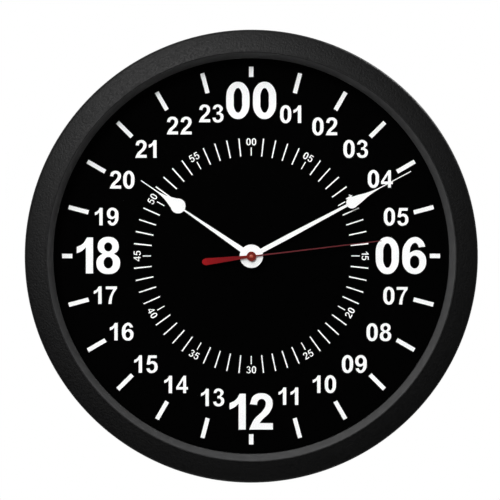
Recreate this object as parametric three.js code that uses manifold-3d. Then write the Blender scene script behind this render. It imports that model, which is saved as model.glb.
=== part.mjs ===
// A round quartz wall clock with a twenty-four-hour dial: case, glass, dial, hands and movement.
// Millimetres and degrees. Every piece is drawn with the clock lying on its back: x to the right,
// y towards the 00 mark, and heights counted forward from the wall. The whole group is then stood
// up, so that the dial faces -Y, +Z is up, and the origin is on the wall behind the hands.
import * as THREE from "three";
import { mergeVertices } from "three/addons/utils/BufferGeometryUtils.js";
import Module from "manifold-3d";

const wasm = await Module();
wasm.setup();

// Clearances
const SLIP = 0.3; // a piece that drops into its seat, or an arbor turning in its hole
const PRESS = 0.05; // a hand on its tube, or a bush in its hole
const GEAR_GAP = 0.4; // between one layer of wheels and the next
const OVERLAP = 0.5; // how far one joined form runs into the next
const OVERCUT = 1; // how far a cutting form stands out of what it cuts

// Case
const CASE_RADIUS = 127;
const CASE_DEPTH = 44;
const CASE_WALL = 2.4;
const SKIRT_DRAFT = 1;
const EDGE_RADIUS = 2.6;
const EDGE_TURN = 70;
const FACE_DROP = 3.4;
const FACE_CROWN = 0.5;
const FACE_WIDTH = 12.5;
const CREST_ROUND = 0.8;
const CREST_FROM = 60;
const CREST_TO = 150;
const BEVEL_WIDTH = 3.4;
const CREST_RADIUS = CASE_RADIUS - FACE_WIDTH;
const SIGHT_RADIUS = CREST_RADIUS - BEVEL_WIDTH;
const LIP_WIDTH = 3.1;
const LIP_THICK = 1.2;
const SEAT_WALL = 2.2;
const SEAT_WALL_BACK = 18;

// Rear cover, its screws and the keyhole that the clock hangs by
const COVER_RECESS = 2.6;
const COVER_THICK = 2.4;
const WINDOW_CLEARANCE = 0.7;
const WINDOW_RIM = 1.8;
const WINDOW_RIM_HEIGHT = 4;
const RIB_COUNT = 8;
const RIB_WIDTH = 1.6;
const RIB_HEIGHT = 3.5;
const RIB_GAP = 2.9; // from a rib's end to the dial's retaining ring
const SCREW_COUNT = 6;
const SCREW_SHANK = 1.4;
const SCREW_LENGTH = 12;
const SCREW_HEAD_RADIUS = 3.2;
const SCREW_HEAD_FLAT = 2.2;
const SCREW_HEAD_HEIGHT = 1.5;
const BOSS_RADIUS = 3.3;
const HANG_HEIGHT = 94;
const HOOK_DROP = 12;
const HOOK_ENTRY_RADIUS = 5;
const HOOK_SLOT_WIDTH = 5;
const HOOK_FLAT_WIDTH = 2.6;

// Glass, spacer, dial and retaining ring
const LENS_THICK = 2;
const LENS_AIR = 11.2;
const SPACER_WIDTH = 1.9;
const DIAL_THICK = 1.2;
const RETAINER_WIDTH = 3;

// Movement case: a square moulding with the battery bay along its lower side
const MOVEMENT_BACK = 5;
const MOVEMENT_DEPTH = 16;
const MOVEMENT_SIZE = 56;
const MOVEMENT_DROP = 1;
const MOVEMENT_CORNER = 3;
const SHELL_WALL = 1.2;
const SHELL_PLATE = 1.4;
const BAY_HEIGHT = 14.7;
const PIVOT_DEPTH = 0.8;
const POST_RADIUS = 1.6;
const BOARD_POST_RADIUS = 1.3;
const BRIDGE_POSTS = [[-21, 13.5], [-3, 15.5], [-24.5, -9.5], [11, -9]];
const BRIDGE_OUTLINE = [
  [-26, -11], [12.8, -11], [12.8, -7], [4.5, -3], [4.5, 3], [1, 10], [-0.5, 17], [-23, 17], [-26, 10],
];

// Threaded bush, washers and nut that clamp the movement to the dial
const BUSH_RADIUS = 4;
const BUSH_BORE = 3;
const BUSH_TAIL_RADIUS = 3.6;
const BUSH_FLANGE_RADIUS = 6;
const BUSH_FLANGE_THICK = 0.8;
const BUSH_SPARE_THREAD = 0.7;
const GASKET_RADIUS = 11;
const WASHER_RADIUS = 6.6;
const WASHER_THICK = 0.5;
const NUT_ACROSS_FLATS = 11;
const NUT_THICK = 2.2;

// Wheels: layer thickness, tooth form in modules and shares of the pitch, then each train
const WHEEL_THICK = 1.1;
const TOOTH_RISE = 0.8;
const TOOTH_FALL = 1.1;
const TOOTH_ROOT_SHARE = 0.6;
const TOOTH_TIP_SHARE = 0.18;
const ROTOR_PINION_TEETH = 6;
const FIFTH_WHEEL_TEETH = 30;
const FIFTH_PINION_TEETH = 6;
const SECONDS_WHEEL_TEETH = 36;
const SECONDS_PINION_TEETH = 6;
const THIRD_WHEEL_TEETH = 45;
const THIRD_PINION_TEETH = 6;
const CENTRE_WHEEL_TEETH = 48;
const CANNON_TEETH = 10;
const MINUTE_WHEEL_TEETH = 40;
const MINUTE_PINION_TEETH = 6;
const HOUR_WHEEL_TEETH = 36;
const ROTOR_DISTANCE = 7.2;
const ROTOR_DIRECTION = 150;
const FIFTH_DISTANCE = 9.24;
const FIFTH_DIRECTION = 120;
const THIRD_DISTANCE = 12.3;
const THIRD_DIRECTION = 180;
const MOTION_DISTANCE = 12.6;
const MOTION_DIRECTION = 35;
const THIN_ARBOR = 0.5;
const SECONDS_ARBOR = 0.6;
const SETTING_ARBOR = 0.6;
const MINUTE_TUBE_BORE = 1;
const MINUTE_TUBE_RADIUS = 1.8;
const HOUR_TUBE_BORE = 2.1;
const HOUR_TUBE_RADIUS = 2.7;

// Motor: magnet, stator, core, bobbin and winding
const MAGNET_RADIUS = 2.6;
const MAGNET_THICK = 1.2;
const STATOR_THICK = 0.8;
const STATOR_AIR = 0.5;
const STATOR_RING_RADIUS = 5;
const STATOR_ARM_WIDTH = 3;
const STATOR_LEG_WIDTH = 4;
const STATOR_LEFT = -22.5;
const STATOR_RIGHT = 9;
const COIL_AXIS = 21;
const CORE_WIDTH = 2.4;
const CORE_THICK = 1.1;
const CORE_FIT = 0.2;
const BOBBIN_RADIUS = 2;
const BOBBIN_FLANGE_RADIUS = 3.4;
const BOBBIN_FLANGE_THICK = 0.8;
const BOBBIN_END_GAP = 1.4;
const WINDING_RADIUS = 3.2;

// Circuit board and what it carries
const BOARD_THICK = 1;
const BOARD_FRONT = 9;
const BOARD_LEFT = 13;
const BOARD_RIGHT = 25.5;
const BOARD_BOTTOM = -10.5;
const BOARD_TOP = 5.5;
const CHIP_RADIUS = 2.2;
const CHIP_HEIGHT = 1;
const CHIP_EDGE = 0.3;
const CRYSTAL_RADIUS = 1;
const CRYSTAL_LENGTH = 6;
const BOARD_POSTS = [[23.5, -8.5], [23.5, 3.5]];

// Battery, contacts and setting knob
const BATTERY_RADIUS = 7.1;
const BATTERY_LENGTH = 50.5;
const BATTERY_NUB_RADIUS = 2.75;
const BATTERY_NUB_LENGTH = 1.3;
const BATTERY_CRIMP = 0.6;
const CONTACT_THICK = 0.4;
const CONTACT_WIDTH = 8;
const CONTACT_HEIGHT = 9;
const KNOB_RADIUS = 4.6;
const KNOB_FLUTE = 0.35;
const KNOB_FLUTES = 14;
const KNOB_HEIGHT = 3.2;
const KNOB_FLOOR = 1;

// Hands: [half width, distance from the axis] at each end of the stem, then the lobe and the needle
const HAND_THICK = 0.6;
const TUBE_PROUD = 0.3;
const HAND_STEP = 1.4;
const TIP_GAP = 9.2; // from the minute hand's tip to the ring's sight edge
const MINUTE_TIP = SIGHT_RADIUS - TIP_GAP;
const HOUR_HAND = {
  hub: 5.4,
  stem: [[1.7, 6], [0.72, 45.2]],
  lobe: { radius: 4.4, distance: 50.1, leave: 130 },
  needle: [[2.4, 55.6], [1.26, 59], [0.6, 64], [0.42, 75.3]],
  angle: 304.35,
};
const MINUTE_HAND = {
  hub: 6.9,
  stem: [[1.58, 25], [1.05, 60]],
  lobe: { radius: 3.45, distance: 64.3, leave: 115 },
  needle: [[2.4, 69.6], [1.25, 74.3], [0.42, 80.4], [0.38, MINUTE_TIP]],
  angle: 62.15,
};
const SECOND_HAND = {
  hub: 2.7,
  stem: [[0.5, 6], [0.26, 73.8]],
  tail: [[0.75, 6], [1.95, 26], [1.8, 26.9], [1.17, 27.7], [0.6, 28]],
  angle: 83.2,
};
const COLLET_RADIUS = 1.5;
const COLLET_LENGTH = 1;
const RIVET_RADIUS = 1.05;
const RIVET_PROUD = 0.4;
const RIVET_EDGE = 0.3;

// Smoothness
const RING_SIDES = 72;
const TUBE_SIDES = 16;
const ARBOR_SIDES = 8;
const CORNER_STEPS = 4;
const PROFILE_STEPS = 3;
const LOBE_STEPS = 8;
const MERGE_DISTANCE = 1e-4;

// Heights that follow from the sizes above
const COVER_FRONT = COVER_RECESS + COVER_THICK;
const MOVEMENT_FRONT = MOVEMENT_BACK + MOVEMENT_DEPTH;
const LID_FRONT = MOVEMENT_BACK + SHELL_PLATE;
const FLOOR = MOVEMENT_FRONT - SHELL_PLATE;
const DIAL_BACK = MOVEMENT_FRONT + BUSH_FLANGE_THICK;
const DIAL_FRONT = DIAL_BACK + DIAL_THICK;
const LENS_BACK = DIAL_FRONT + LENS_AIR;
const LENS_FRONT = LENS_BACK + LENS_THICK;
const NUT_BACK = DIAL_FRONT + WASHER_THICK;
const BUSH_FRONT = NUT_BACK + NUT_THICK + BUSH_SPARE_THREAD;
const HOUR_HAND_BACK = BUSH_FRONT + SLIP;
const HOUR_TUBE_FRONT = HOUR_HAND_BACK + HAND_THICK + TUBE_PROUD;
const MINUTE_HAND_BACK = HOUR_HAND_BACK + HAND_THICK + HAND_STEP;
const MINUTE_TUBE_FRONT = MINUTE_HAND_BACK + HAND_THICK + TUBE_PROUD;
const SECOND_HAND_BACK = MINUTE_TUBE_FRONT + TUBE_PROUD + COLLET_LENGTH;

// Radii and lines that follow from them
const SEAT_RADIUS = SIGHT_RADIUS + LIP_WIDTH;
const LENS_RADIUS = SEAT_RADIUS - SLIP;
const SKIRT_INNER_BACK = CASE_RADIUS - SKIRT_DRAFT - CASE_WALL;
const BOSS_CIRCLE = (SEAT_RADIUS + SEAT_WALL + SKIRT_INNER_BACK) / 2;
const MOVEMENT_RIGHT = MOVEMENT_SIZE / 2;
const MOVEMENT_TOP = MOVEMENT_RIGHT - MOVEMENT_DROP;
const MOVEMENT_BOTTOM = MOVEMENT_TOP - MOVEMENT_SIZE;
const BAY_BOTTOM = MOVEMENT_BOTTOM + SHELL_WALL;
const BAY_TOP = BAY_BOTTOM + BAY_HEIGHT;
const TRAIN_BOTTOM = BAY_TOP + SHELL_WALL;
const INSIDE_RIGHT = MOVEMENT_RIGHT - SHELL_WALL;

// The layers of wheels, counted down from the movement's front plate towards the wall
const LAYERS = stackLayers(["hour", "minute", "centre", "third", "bridge", "seconds", "fifth"]);

function stackLayers(names) {
  const layers = {};
  names.forEach((name, i) => {
    const front = FLOOR - GEAR_GAP - i * (WHEEL_THICK + GEAR_GAP);
    layers[name] = { low: front - WHEEL_THICK, high: front };
  });
  return layers;
}

// Where each arbor stands
const CENTRE_AT = [0, 0];
const THIRD_AT = offset(CENTRE_AT, THIRD_DISTANCE, THIRD_DIRECTION);
const FIFTH_AT = offset(CENTRE_AT, FIFTH_DISTANCE, FIFTH_DIRECTION);
const ROTOR_AT = offset(FIFTH_AT, ROTOR_DISTANCE, ROTOR_DIRECTION);
const SETTING_AT = offset(CENTRE_AT, MOTION_DISTANCE, MOTION_DIRECTION);

function radians(degrees) {
  return THREE.MathUtils.degToRad(degrees);
}

function offset([x, y], distance, direction) {
  return [x + distance * Math.cos(radians(direction)), y + distance * Math.sin(radians(direction))];
}

// Solids that can be joined and cut, and back to geometry

function solidOf(geometry) {
  const bare = new THREE.BufferGeometry();
  bare.setAttribute("position", geometry.getAttribute("position"));
  if (geometry.index) bare.setIndex(geometry.index);
  const merged = mergeVertices(bare, MERGE_DISTANCE);
  const triVerts = new Uint32Array(merged.index.array);
  const vertProperties = merged.attributes.position.array;
  return new wasm.Manifold(new wasm.Mesh({ numProp: 3, vertProperties, triVerts }));
}

function geometryOf(body) {
  const mesh = body.getMesh();
  const indexed = new THREE.BufferGeometry();
  indexed.setAttribute("position", new THREE.BufferAttribute(mesh.vertProperties, 3));
  indexed.setIndex(new THREE.BufferAttribute(mesh.triVerts, 1));
  const geometry = indexed.toNonIndexed();
  geometry.computeVertexNormals();
  return geometry;
}

function join(...geometries) {
  const bodies = geometries.map(solidOf);
  return geometryOf(bodies.reduce((all, body) => all.add(body)));
}

function cut(geometry, ...tools) {
  return geometryOf(tools.map(solidOf).reduce((left, tool) => left.subtract(tool), solidOf(geometry)));
}

// Outlines, as lists of points that run anticlockwise

function circle(radius, sides, [x, y] = CENTRE_AT) {
  return Array.from({ length: sides }, (_, i) => {
    const angle = (2 * Math.PI * i) / sides;
    return new THREE.Vector2(x + radius * Math.cos(angle), y + radius * Math.sin(angle));
  });
}

function arc(x, y, radius, from, to, steps) {
  return Array.from({ length: steps + 1 }, (_, i) => {
    const angle = radians(from + ((to - from) * i) / steps);
    return new THREE.Vector2(x + radius * Math.cos(angle), y + radius * Math.sin(angle));
  });
}

function rectangle(left, bottom, right, top) {
  const corners = [[left, bottom], [right, bottom], [right, top], [left, top]];
  return corners.map(([x, y]) => new THREE.Vector2(x, y));
}

function roundedRectangle(left, bottom, right, top, radius) {
  return [
    ...arc(right - radius, bottom + radius, radius, -90, 0, CORNER_STEPS),
    ...arc(right - radius, top - radius, radius, 0, 90, CORNER_STEPS),
    ...arc(left + radius, top - radius, radius, 90, 180, CORNER_STEPS),
    ...arc(left + radius, bottom + radius, radius, 180, 270, CORNER_STEPS),
  ];
}

function gearOutline(teeth, distance, mateTeeth, phase) {
  const pitchRadius = (distance * teeth) / (teeth + mateTeeth);
  const toothModule = (2 * pitchRadius) / teeth;
  const tip = pitchRadius + TOOTH_RISE * toothModule;
  const root = pitchRadius - TOOTH_FALL * toothModule;
  const corners = [
    [root, -TOOTH_ROOT_SHARE / 2],
    [tip, -TOOTH_TIP_SHARE / 2],
    [tip, TOOTH_TIP_SHARE / 2],
    [root, TOOTH_ROOT_SHARE / 2],
  ];
  return Array.from({ length: teeth }, (_, i) =>
    corners.map(([radius, share]) => {
      const angle = radians(phase) + (2 * Math.PI * (i + share)) / teeth;
      return new THREE.Vector2(radius * Math.cos(angle), radius * Math.sin(angle));
    }),
  ).flat();
}

// The phase at which a driven wheel's gap meets the driver's tooth on the line between them.
function meshPhase(direction, driverTeeth, driverPhase, drivenTeeth) {
  const pastLine = (driverPhase - direction) * (driverTeeth / drivenTeeth);
  return direction + 180 - pastLine + 180 / drivenTeeth;
}

// Plain bodies

function plate(outline, low, high, holes = []) {
  const shape = new THREE.Shape(outline);
  shape.holes = holes.map((points) => new THREE.Path(points));
  const geometry = new THREE.ExtrudeGeometry(shape, { depth: high - low, bevelEnabled: false });
  return geometry.translate(0, 0, low);
}

function disc(radius, low, high, at = CENTRE_AT, sides = ARBOR_SIDES) {
  return plate(circle(radius, sides, at), low, high);
}

function tube(inner, outer, low, high, sides = TUBE_SIDES) {
  return plate(circle(outer, sides), low, high, [circle(inner, sides)]);
}

// A profile of [radius, height] corners, anticlockwise, turned about the clock's axis.
function turned(profile, sides) {
  const points = profile.map(([radius, height]) => new THREE.Vector2(radius, height));
  const geometry = new THREE.LatheGeometry([...points, points[0]], sides);
  return geometry.rotateX(Math.PI / 2);
}

// Materials

function material(color, roughness, metalness = 0) {
  return new THREE.MeshStandardMaterial({ color, roughness, metalness });
}

const BLACK_PLASTIC = material(0x1b1b1c, 0.5);
const DIAL_BLACK = material(0x050505, 0.7);
const MOVEMENT_BLACK = material(0x151516, 0.6);
const NYLON = material(0xe9e6da, 0.55);
const WHITE_PAINT = material(0xf4f4f4, 0.45);
const RED_PAINT = material(0x7f1a1a, 0.4);
const BRASS = material(0xc39a4c, 0.35, 1);
const STEEL = material(0xb9bcc0, 0.35, 1);
const IRON = material(0x8e8f92, 0.5, 1);
const COPPER = material(0xb06a3b, 0.4, 1);
const MAGNET = material(0x3a3a3d, 0.6);
const RUBBER = material(0x1d1d1d, 0.9);
const BOARD_GREEN = material(0x2c5b3c, 0.6);
const BATTERY_WRAP = material(0x2f5f9e, 0.35);
const GLASS = new THREE.MeshStandardMaterial({
  color: 0xffffff,
  roughness: 0.03,
  transparent: true,
  opacity: 0.12,
});

const clock = new THREE.Group();
clock.rotation.x = Math.PI / 2;

function add(name, geometry, finish, place = {}) {
  const mesh = new THREE.Mesh(geometry, finish);
  mesh.name = name;
  const [x, y] = place.at ?? CENTRE_AT;
  mesh.position.set(x, y, 0);
  mesh.rotation.z = radians(place.turn ?? 0);
  clock.add(mesh);
}

// Case

function screwPlaces() {
  const step = 360 / SCREW_COUNT;
  return Array.from({ length: SCREW_COUNT }, (_, i) => offset(CENTRE_AT, BOSS_CIRCLE, i * step));
}

// The front face falls from the crest to the edge in a shallow crowned curve.
function facePoints(edge, crest, steps) {
  return Array.from({ length: steps - 1 }, (_, i) => {
    const share = (i + 1) / steps;
    const crown = FACE_CROWN * 4 * share * (1 - share);
    const radius = edge[0] + (crest[0] - edge[0]) * share;
    return [radius, edge[1] + (crest[1] - edge[1]) * share + crown];
  });
}

function bezelRing() {
  const shoulder = CASE_DEPTH - FACE_DROP - EDGE_RADIUS;
  const edgeArc = [EDGE_RADIUS, 0, EDGE_TURN, PROFILE_STEPS];
  const corner = arc(CASE_RADIUS - EDGE_RADIUS, shoulder, ...edgeArc).map((p) => [p.x, p.y]);
  const crestArc = [CREST_ROUND, CREST_FROM, CREST_TO, PROFILE_STEPS];
  const crest = arc(CREST_RADIUS, CASE_DEPTH - CREST_ROUND, ...crestArc).map((p) => [p.x, p.y]);
  const profile = [
    [CASE_RADIUS - SKIRT_DRAFT, 0],
    ...corner,
    ...facePoints(corner.at(-1), crest[0], PROFILE_STEPS),
    ...crest,
    [SIGHT_RADIUS, LENS_FRONT + LIP_THICK],
    [SIGHT_RADIUS, LENS_FRONT],
    [SEAT_RADIUS, LENS_FRONT],
    [SEAT_RADIUS, SEAT_WALL_BACK],
    [SEAT_RADIUS + SEAT_WALL, SEAT_WALL_BACK],
    [SEAT_RADIUS + SEAT_WALL, CASE_DEPTH - CASE_WALL - CREST_ROUND],
    [CASE_RADIUS - CASE_WALL - SKIRT_DRAFT, shoulder],
    [SKIRT_INNER_BACK, 0],
  ];
  const bossFront = shoulder + CASE_WALL;
  const bosses = screwPlaces().map((at) => disc(BOSS_RADIUS, COVER_FRONT, bossFront, at, 2 * ARBOR_SIDES));
  const holeBack = COVER_FRONT - OVERCUT;
  const holeFront = COVER_FRONT + SCREW_LENGTH;
  const holes = screwPlaces().map((at) => disc(SCREW_SHANK + SLIP, holeBack, holeFront, at));
  return cut(join(turned(profile, RING_SIDES), ...bosses), ...holes);
}

function keyhole() {
  const half = HOOK_SLOT_WIDTH / 2;
  const flat = HOOK_FLAT_WIDTH / 2;
  const entry = HANG_HEIGHT - HOOK_DROP;
  const open = THREE.MathUtils.radToDeg(Math.asin(half / HOOK_ENTRY_RADIUS));
  return [
    ...arc(0, entry, HOOK_ENTRY_RADIUS, 90 + open, 450 - open, 3 * CORNER_STEPS),
    new THREE.Vector2(half, HANG_HEIGHT - (half - flat)),
    new THREE.Vector2(flat, HANG_HEIGHT),
    new THREE.Vector2(-flat, HANG_HEIGHT),
    new THREE.Vector2(-half, HANG_HEIGHT - (half - flat)),
  ];
}

function movementSquare(margin) {
  const right = MOVEMENT_RIGHT + margin;
  const corner = MOVEMENT_CORNER + margin;
  return roundedRectangle(-right, MOVEMENT_BOTTOM - margin, right, MOVEMENT_TOP + margin, corner);
}

function rearCover() {
  const window = movementSquare(WINDOW_CLEARANCE);
  const rim = movementSquare(WINDOW_CLEARANCE + WINDOW_RIM);
  const screws = screwPlaces().map((at) => circle(SCREW_SHANK + SLIP, ARBOR_SIDES, at));
  const sheet = circle(SKIRT_INNER_BACK - SLIP, RING_SIDES);
  const base = plate(sheet, COVER_RECESS, COVER_FRONT, [window, keyhole(), ...screws]);
  const frame = plate(rim, COVER_FRONT - OVERLAP, COVER_FRONT + WINDOW_RIM_HEIGHT, [window]);
  const ribStart = MOVEMENT_RIGHT + WINDOW_CLEARANCE + WINDOW_RIM / 2;
  const ribEnd = LENS_RADIUS - RETAINER_WIDTH - RIB_GAP;
  const ribs = Array.from({ length: RIB_COUNT }, (_, i) => {
    const rib = rectangle(ribStart, -RIB_WIDTH / 2, ribEnd, RIB_WIDTH / 2);
    const bar = plate(rib, COVER_FRONT - OVERLAP, COVER_FRONT + RIB_HEIGHT);
    return bar.rotateZ(radians((360 / RIB_COUNT) * (i + 0.5)));
  });
  const clear = plate(window, 0, CASE_DEPTH);
  return cut(join(base, frame, ...ribs), clear);
}

function caseScrew() {
  const headBack = COVER_RECESS - SCREW_HEAD_HEIGHT;
  return turned(
    [
      [0, headBack],
      [SCREW_HEAD_FLAT, headBack],
      [SCREW_HEAD_RADIUS, headBack + SCREW_HEAD_HEIGHT / 2],
      [SCREW_HEAD_RADIUS, COVER_RECESS],
      [SCREW_SHANK, COVER_RECESS],
      [SCREW_SHANK, COVER_FRONT + SCREW_LENGTH - 2 * SCREW_SHANK],
      [0, COVER_FRONT + SCREW_LENGTH - SCREW_SHANK],
    ],
    ARBOR_SIDES,
  );
}

function addCase() {
  add("bezel_ring", bezelRing(), BLACK_PLASTIC);
  add("lens", disc(LENS_RADIUS, LENS_BACK, LENS_FRONT, CENTRE_AT, RING_SIDES), GLASS);
  const spacer = tube(LENS_RADIUS - SPACER_WIDTH, LENS_RADIUS, DIAL_FRONT, LENS_BACK, RING_SIDES);
  add("dial_spacer", spacer, DIAL_BLACK);
  const axisHole = circle(BUSH_RADIUS + SLIP, TUBE_SIDES);
  const dial = plate(circle(LENS_RADIUS, RING_SIDES), DIAL_BACK, DIAL_FRONT, [axisHole]);
  add("dial_plate", dial, DIAL_BLACK);
  const retainer = tube(LENS_RADIUS - RETAINER_WIDTH, LENS_RADIUS, COVER_FRONT, DIAL_BACK, RING_SIDES);
  add("dial_retainer", retainer, BLACK_PLASTIC);
  add("rear_cover", rearCover(), BLACK_PLASTIC);
  screwPlaces().forEach((at, i) => add(`case_screw_${i + 1}`, caseScrew(), STEEL, { at }));
}

// Movement case and what clamps it to the dial

function pivotRecess(at, radius, low, high) {
  return disc(radius + SLIP, low, high, at);
}

function movementHousing() {
  const block = plate(movementSquare(0), LID_FRONT, MOVEMENT_FRONT);
  const inside = MOVEMENT_CORNER - SHELL_WALL;
  const top = MOVEMENT_TOP - SHELL_WALL;
  const train = roundedRectangle(-INSIDE_RIGHT, TRAIN_BOTTOM, INSIDE_RIGHT, top, inside);
  const bay = rectangle(-INSIDE_RIGHT, BAY_BOTTOM, INSIDE_RIGHT, BAY_TOP);
  const pockets = [train, bay].map((outline) => plate(outline, LID_FRONT - OVERCUT, FLOOR));
  const bushHole = disc(BUSH_TAIL_RADIUS + PRESS, 0, CASE_DEPTH, CENTRE_AT, TUBE_SIDES);
  const recesses = [
    pivotRecess(THIRD_AT, THIN_ARBOR, FLOOR - OVERCUT, FLOOR + PIVOT_DEPTH),
    pivotRecess(SETTING_AT, SETTING_ARBOR, FLOOR - OVERCUT, FLOOR + PIVOT_DEPTH),
  ];
  const shell = cut(block, ...pockets, bushHole, ...recesses);
  const root = FLOOR + OVERLAP;
  const bridgePosts = BRIDGE_POSTS.map((at) => disc(POST_RADIUS, LAYERS.bridge.high, root, at));
  const boardPosts = BOARD_POSTS.map((at) => disc(BOARD_POST_RADIUS, BOARD_FRONT, root, at));
  return join(shell, ...bridgePosts, ...boardPosts);
}

function movementLid() {
  const right = MOVEMENT_RIGHT;
  const cornerX = right - MOVEMENT_CORNER;
  const cornerY = MOVEMENT_TOP - MOVEMENT_CORNER;
  const outline = [
    new THREE.Vector2(-right, BAY_TOP),
    new THREE.Vector2(right, BAY_TOP),
    ...arc(cornerX, cornerY, MOVEMENT_CORNER, 0, 90, CORNER_STEPS),
    ...arc(-cornerX, cornerY, MOVEMENT_CORNER, 90, 180, CORNER_STEPS),
  ];
  const settingHole = circle(SETTING_ARBOR + SLIP, ARBOR_SIDES, SETTING_AT);
  const sheet = plate(outline, MOVEMENT_BACK, LID_FRONT, [settingHole]);
  const recesses = [
    [CENTRE_AT, SECONDS_ARBOR],
    [THIRD_AT, THIN_ARBOR],
    [FIFTH_AT, THIN_ARBOR],
    [ROTOR_AT, THIN_ARBOR],
  ].map(([at, radius]) => pivotRecess(at, radius, LID_FRONT - PIVOT_DEPTH, LID_FRONT + OVERCUT));
  return cut(sheet, ...recesses);
}

function gearBridge() {
  const outline = BRIDGE_OUTLINE.map(([x, y]) => new THREE.Vector2(x, y));
  const { low, high } = LAYERS.bridge;
  const holes = [
    circle(SECONDS_ARBOR + SLIP, ARBOR_SIDES, CENTRE_AT),
    circle(THIN_ARBOR + SLIP, ARBOR_SIDES, THIRD_AT),
    circle(THIN_ARBOR + SLIP, ARBOR_SIDES, FIFTH_AT),
    circle(THIN_ARBOR + SLIP, ARBOR_SIDES, ROTOR_AT),
  ];
  return plate(outline, low, high, holes);
}

function centreBush() {
  return turned(
    [
      [BUSH_BORE, FLOOR],
      [BUSH_TAIL_RADIUS, FLOOR],
      [BUSH_TAIL_RADIUS, MOVEMENT_FRONT],
      [BUSH_FLANGE_RADIUS, MOVEMENT_FRONT],
      [BUSH_FLANGE_RADIUS, DIAL_BACK],
      [BUSH_RADIUS, DIAL_BACK],
      [BUSH_RADIUS, BUSH_FRONT],
      [BUSH_BORE, BUSH_FRONT],
    ],
    TUBE_SIDES,
  );
}

function addMovementCase() {
  add("movement_housing", movementHousing(), MOVEMENT_BLACK);
  add("movement_lid", movementLid(), MOVEMENT_BLACK);
  add("gear_bridge", gearBridge(), MOVEMENT_BLACK);
  add("centre_bush", centreBush(), BRASS);
  const gasketBore = BUSH_FLANGE_RADIUS + SLIP;
  add("dial_gasket", tube(gasketBore, GASKET_RADIUS, MOVEMENT_FRONT, DIAL_BACK, 2 * TUBE_SIDES), RUBBER);
  add("dial_washer", tube(BUSH_RADIUS + SLIP, WASHER_RADIUS, DIAL_FRONT, NUT_BACK), BRASS);
  const nutOutline = circle(NUT_ACROSS_FLATS / 2 / Math.cos(Math.PI / 6), 6);
  const nutBore = circle(BUSH_RADIUS + PRESS, TUBE_SIDES);
  add("dial_nut", plate(nutOutline, NUT_BACK, NUT_BACK + NUT_THICK, [nutBore]), BRASS);
}

// Going train: rotor, fifth wheel, seconds wheel, third wheel and centre wheel

function wheel(teeth, distance, mateTeeth, phase, low, high, bore = 0) {
  const holes = bore ? [circle(bore, TUBE_SIDES)] : [];
  return plate(gearOutline(teeth, distance, mateTeeth, phase), low, high, holes);
}

function addGoingTrain() {
  const pivotBack = LID_FRONT - PIVOT_DEPTH + SLIP;
  const overlap = GEAR_GAP / 4;
  const { centre, third, bridge, seconds, fifth } = LAYERS;

  const rotorPhase = meshPhase(ROTOR_DIRECTION, FIFTH_WHEEL_TEETH, 0, ROTOR_PINION_TEETH);
  const magnetFront = bridge.low - SLIP;
  const rotorPinion = [ROTOR_PINION_TEETH, ROTOR_DISTANCE, FIFTH_WHEEL_TEETH, rotorPhase];
  const rotor = join(
    disc(THIN_ARBOR, pivotBack, bridge.high - SLIP),
    wheel(...rotorPinion, fifth.low - overlap, magnetFront - MAGNET_THICK / 2),
    disc(MAGNET_RADIUS, magnetFront - MAGNET_THICK, magnetFront, CENTRE_AT, TUBE_SIDES),
  );
  add("rotor", rotor, MAGNET, { at: ROTOR_AT });

  const fifthPhase = meshPhase(FIFTH_DIRECTION, SECONDS_WHEEL_TEETH, 0, FIFTH_PINION_TEETH);
  const fifthPinion = [FIFTH_PINION_TEETH, FIFTH_DISTANCE, SECONDS_WHEEL_TEETH, fifthPhase];
  const fifthWheel = join(
    disc(THIN_ARBOR, pivotBack, bridge.high - SLIP),
    wheel(FIFTH_WHEEL_TEETH, ROTOR_DISTANCE, ROTOR_PINION_TEETH, 0, fifth.low, fifth.high),
    wheel(...fifthPinion, fifth.high - overlap, seconds.high + overlap),
  );
  add("fifth_wheel", fifthWheel, NYLON, { at: FIFTH_AT });

  const secondsArborFront = SECOND_HAND_BACK + TUBE_PROUD / 2;
  const secondsPinion = [SECONDS_PINION_TEETH, THIRD_DISTANCE, THIRD_WHEEL_TEETH, 0];
  const secondsWheel = join(
    disc(SECONDS_ARBOR, pivotBack, secondsArborFront),
    wheel(SECONDS_WHEEL_TEETH, FIFTH_DISTANCE, FIFTH_PINION_TEETH, 0, seconds.low, seconds.high),
    wheel(...secondsPinion, third.low - overlap, third.high + overlap),
  );
  add("seconds_wheel", secondsWheel, NYLON);

  const thirdPhase = meshPhase(THIRD_DIRECTION, SECONDS_PINION_TEETH, 0, THIRD_WHEEL_TEETH);
  const thirdGear = [THIRD_WHEEL_TEETH, THIRD_DISTANCE, SECONDS_PINION_TEETH, thirdPhase];
  const thirdPinion = [THIRD_PINION_TEETH, THIRD_DISTANCE, CENTRE_WHEEL_TEETH, 0];
  const thirdWheel = join(
    disc(THIN_ARBOR, pivotBack, FLOOR + PIVOT_DEPTH - SLIP),
    wheel(...thirdGear, third.low, third.high),
    wheel(...thirdPinion, third.high - overlap, centre.high + overlap),
  );
  add("third_wheel", thirdWheel, NYLON, { at: THIRD_AT });

  const centrePhase = meshPhase(THIRD_DIRECTION + 180, THIRD_PINION_TEETH, 0, CENTRE_WHEEL_TEETH);
  const centreGear = [CENTRE_WHEEL_TEETH, THIRD_DISTANCE, THIRD_PINION_TEETH, centrePhase];
  const centreWheel = wheel(...centreGear, centre.low, centre.high, MINUTE_TUBE_RADIUS + SLIP);
  add("centre_wheel", centreWheel, NYLON);
}

// Motion work: minute tube, minute wheel, hour wheel and the setting knob

function knobOutline() {
  return Array.from({ length: 2 * KNOB_FLUTES }, (_, i) => {
    const angle = (Math.PI * i) / KNOB_FLUTES;
    const radius = KNOB_RADIUS - (i % 2 ? KNOB_FLUTE : 0);
    return new THREE.Vector2(radius * Math.cos(angle), radius * Math.sin(angle));
  });
}

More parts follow.
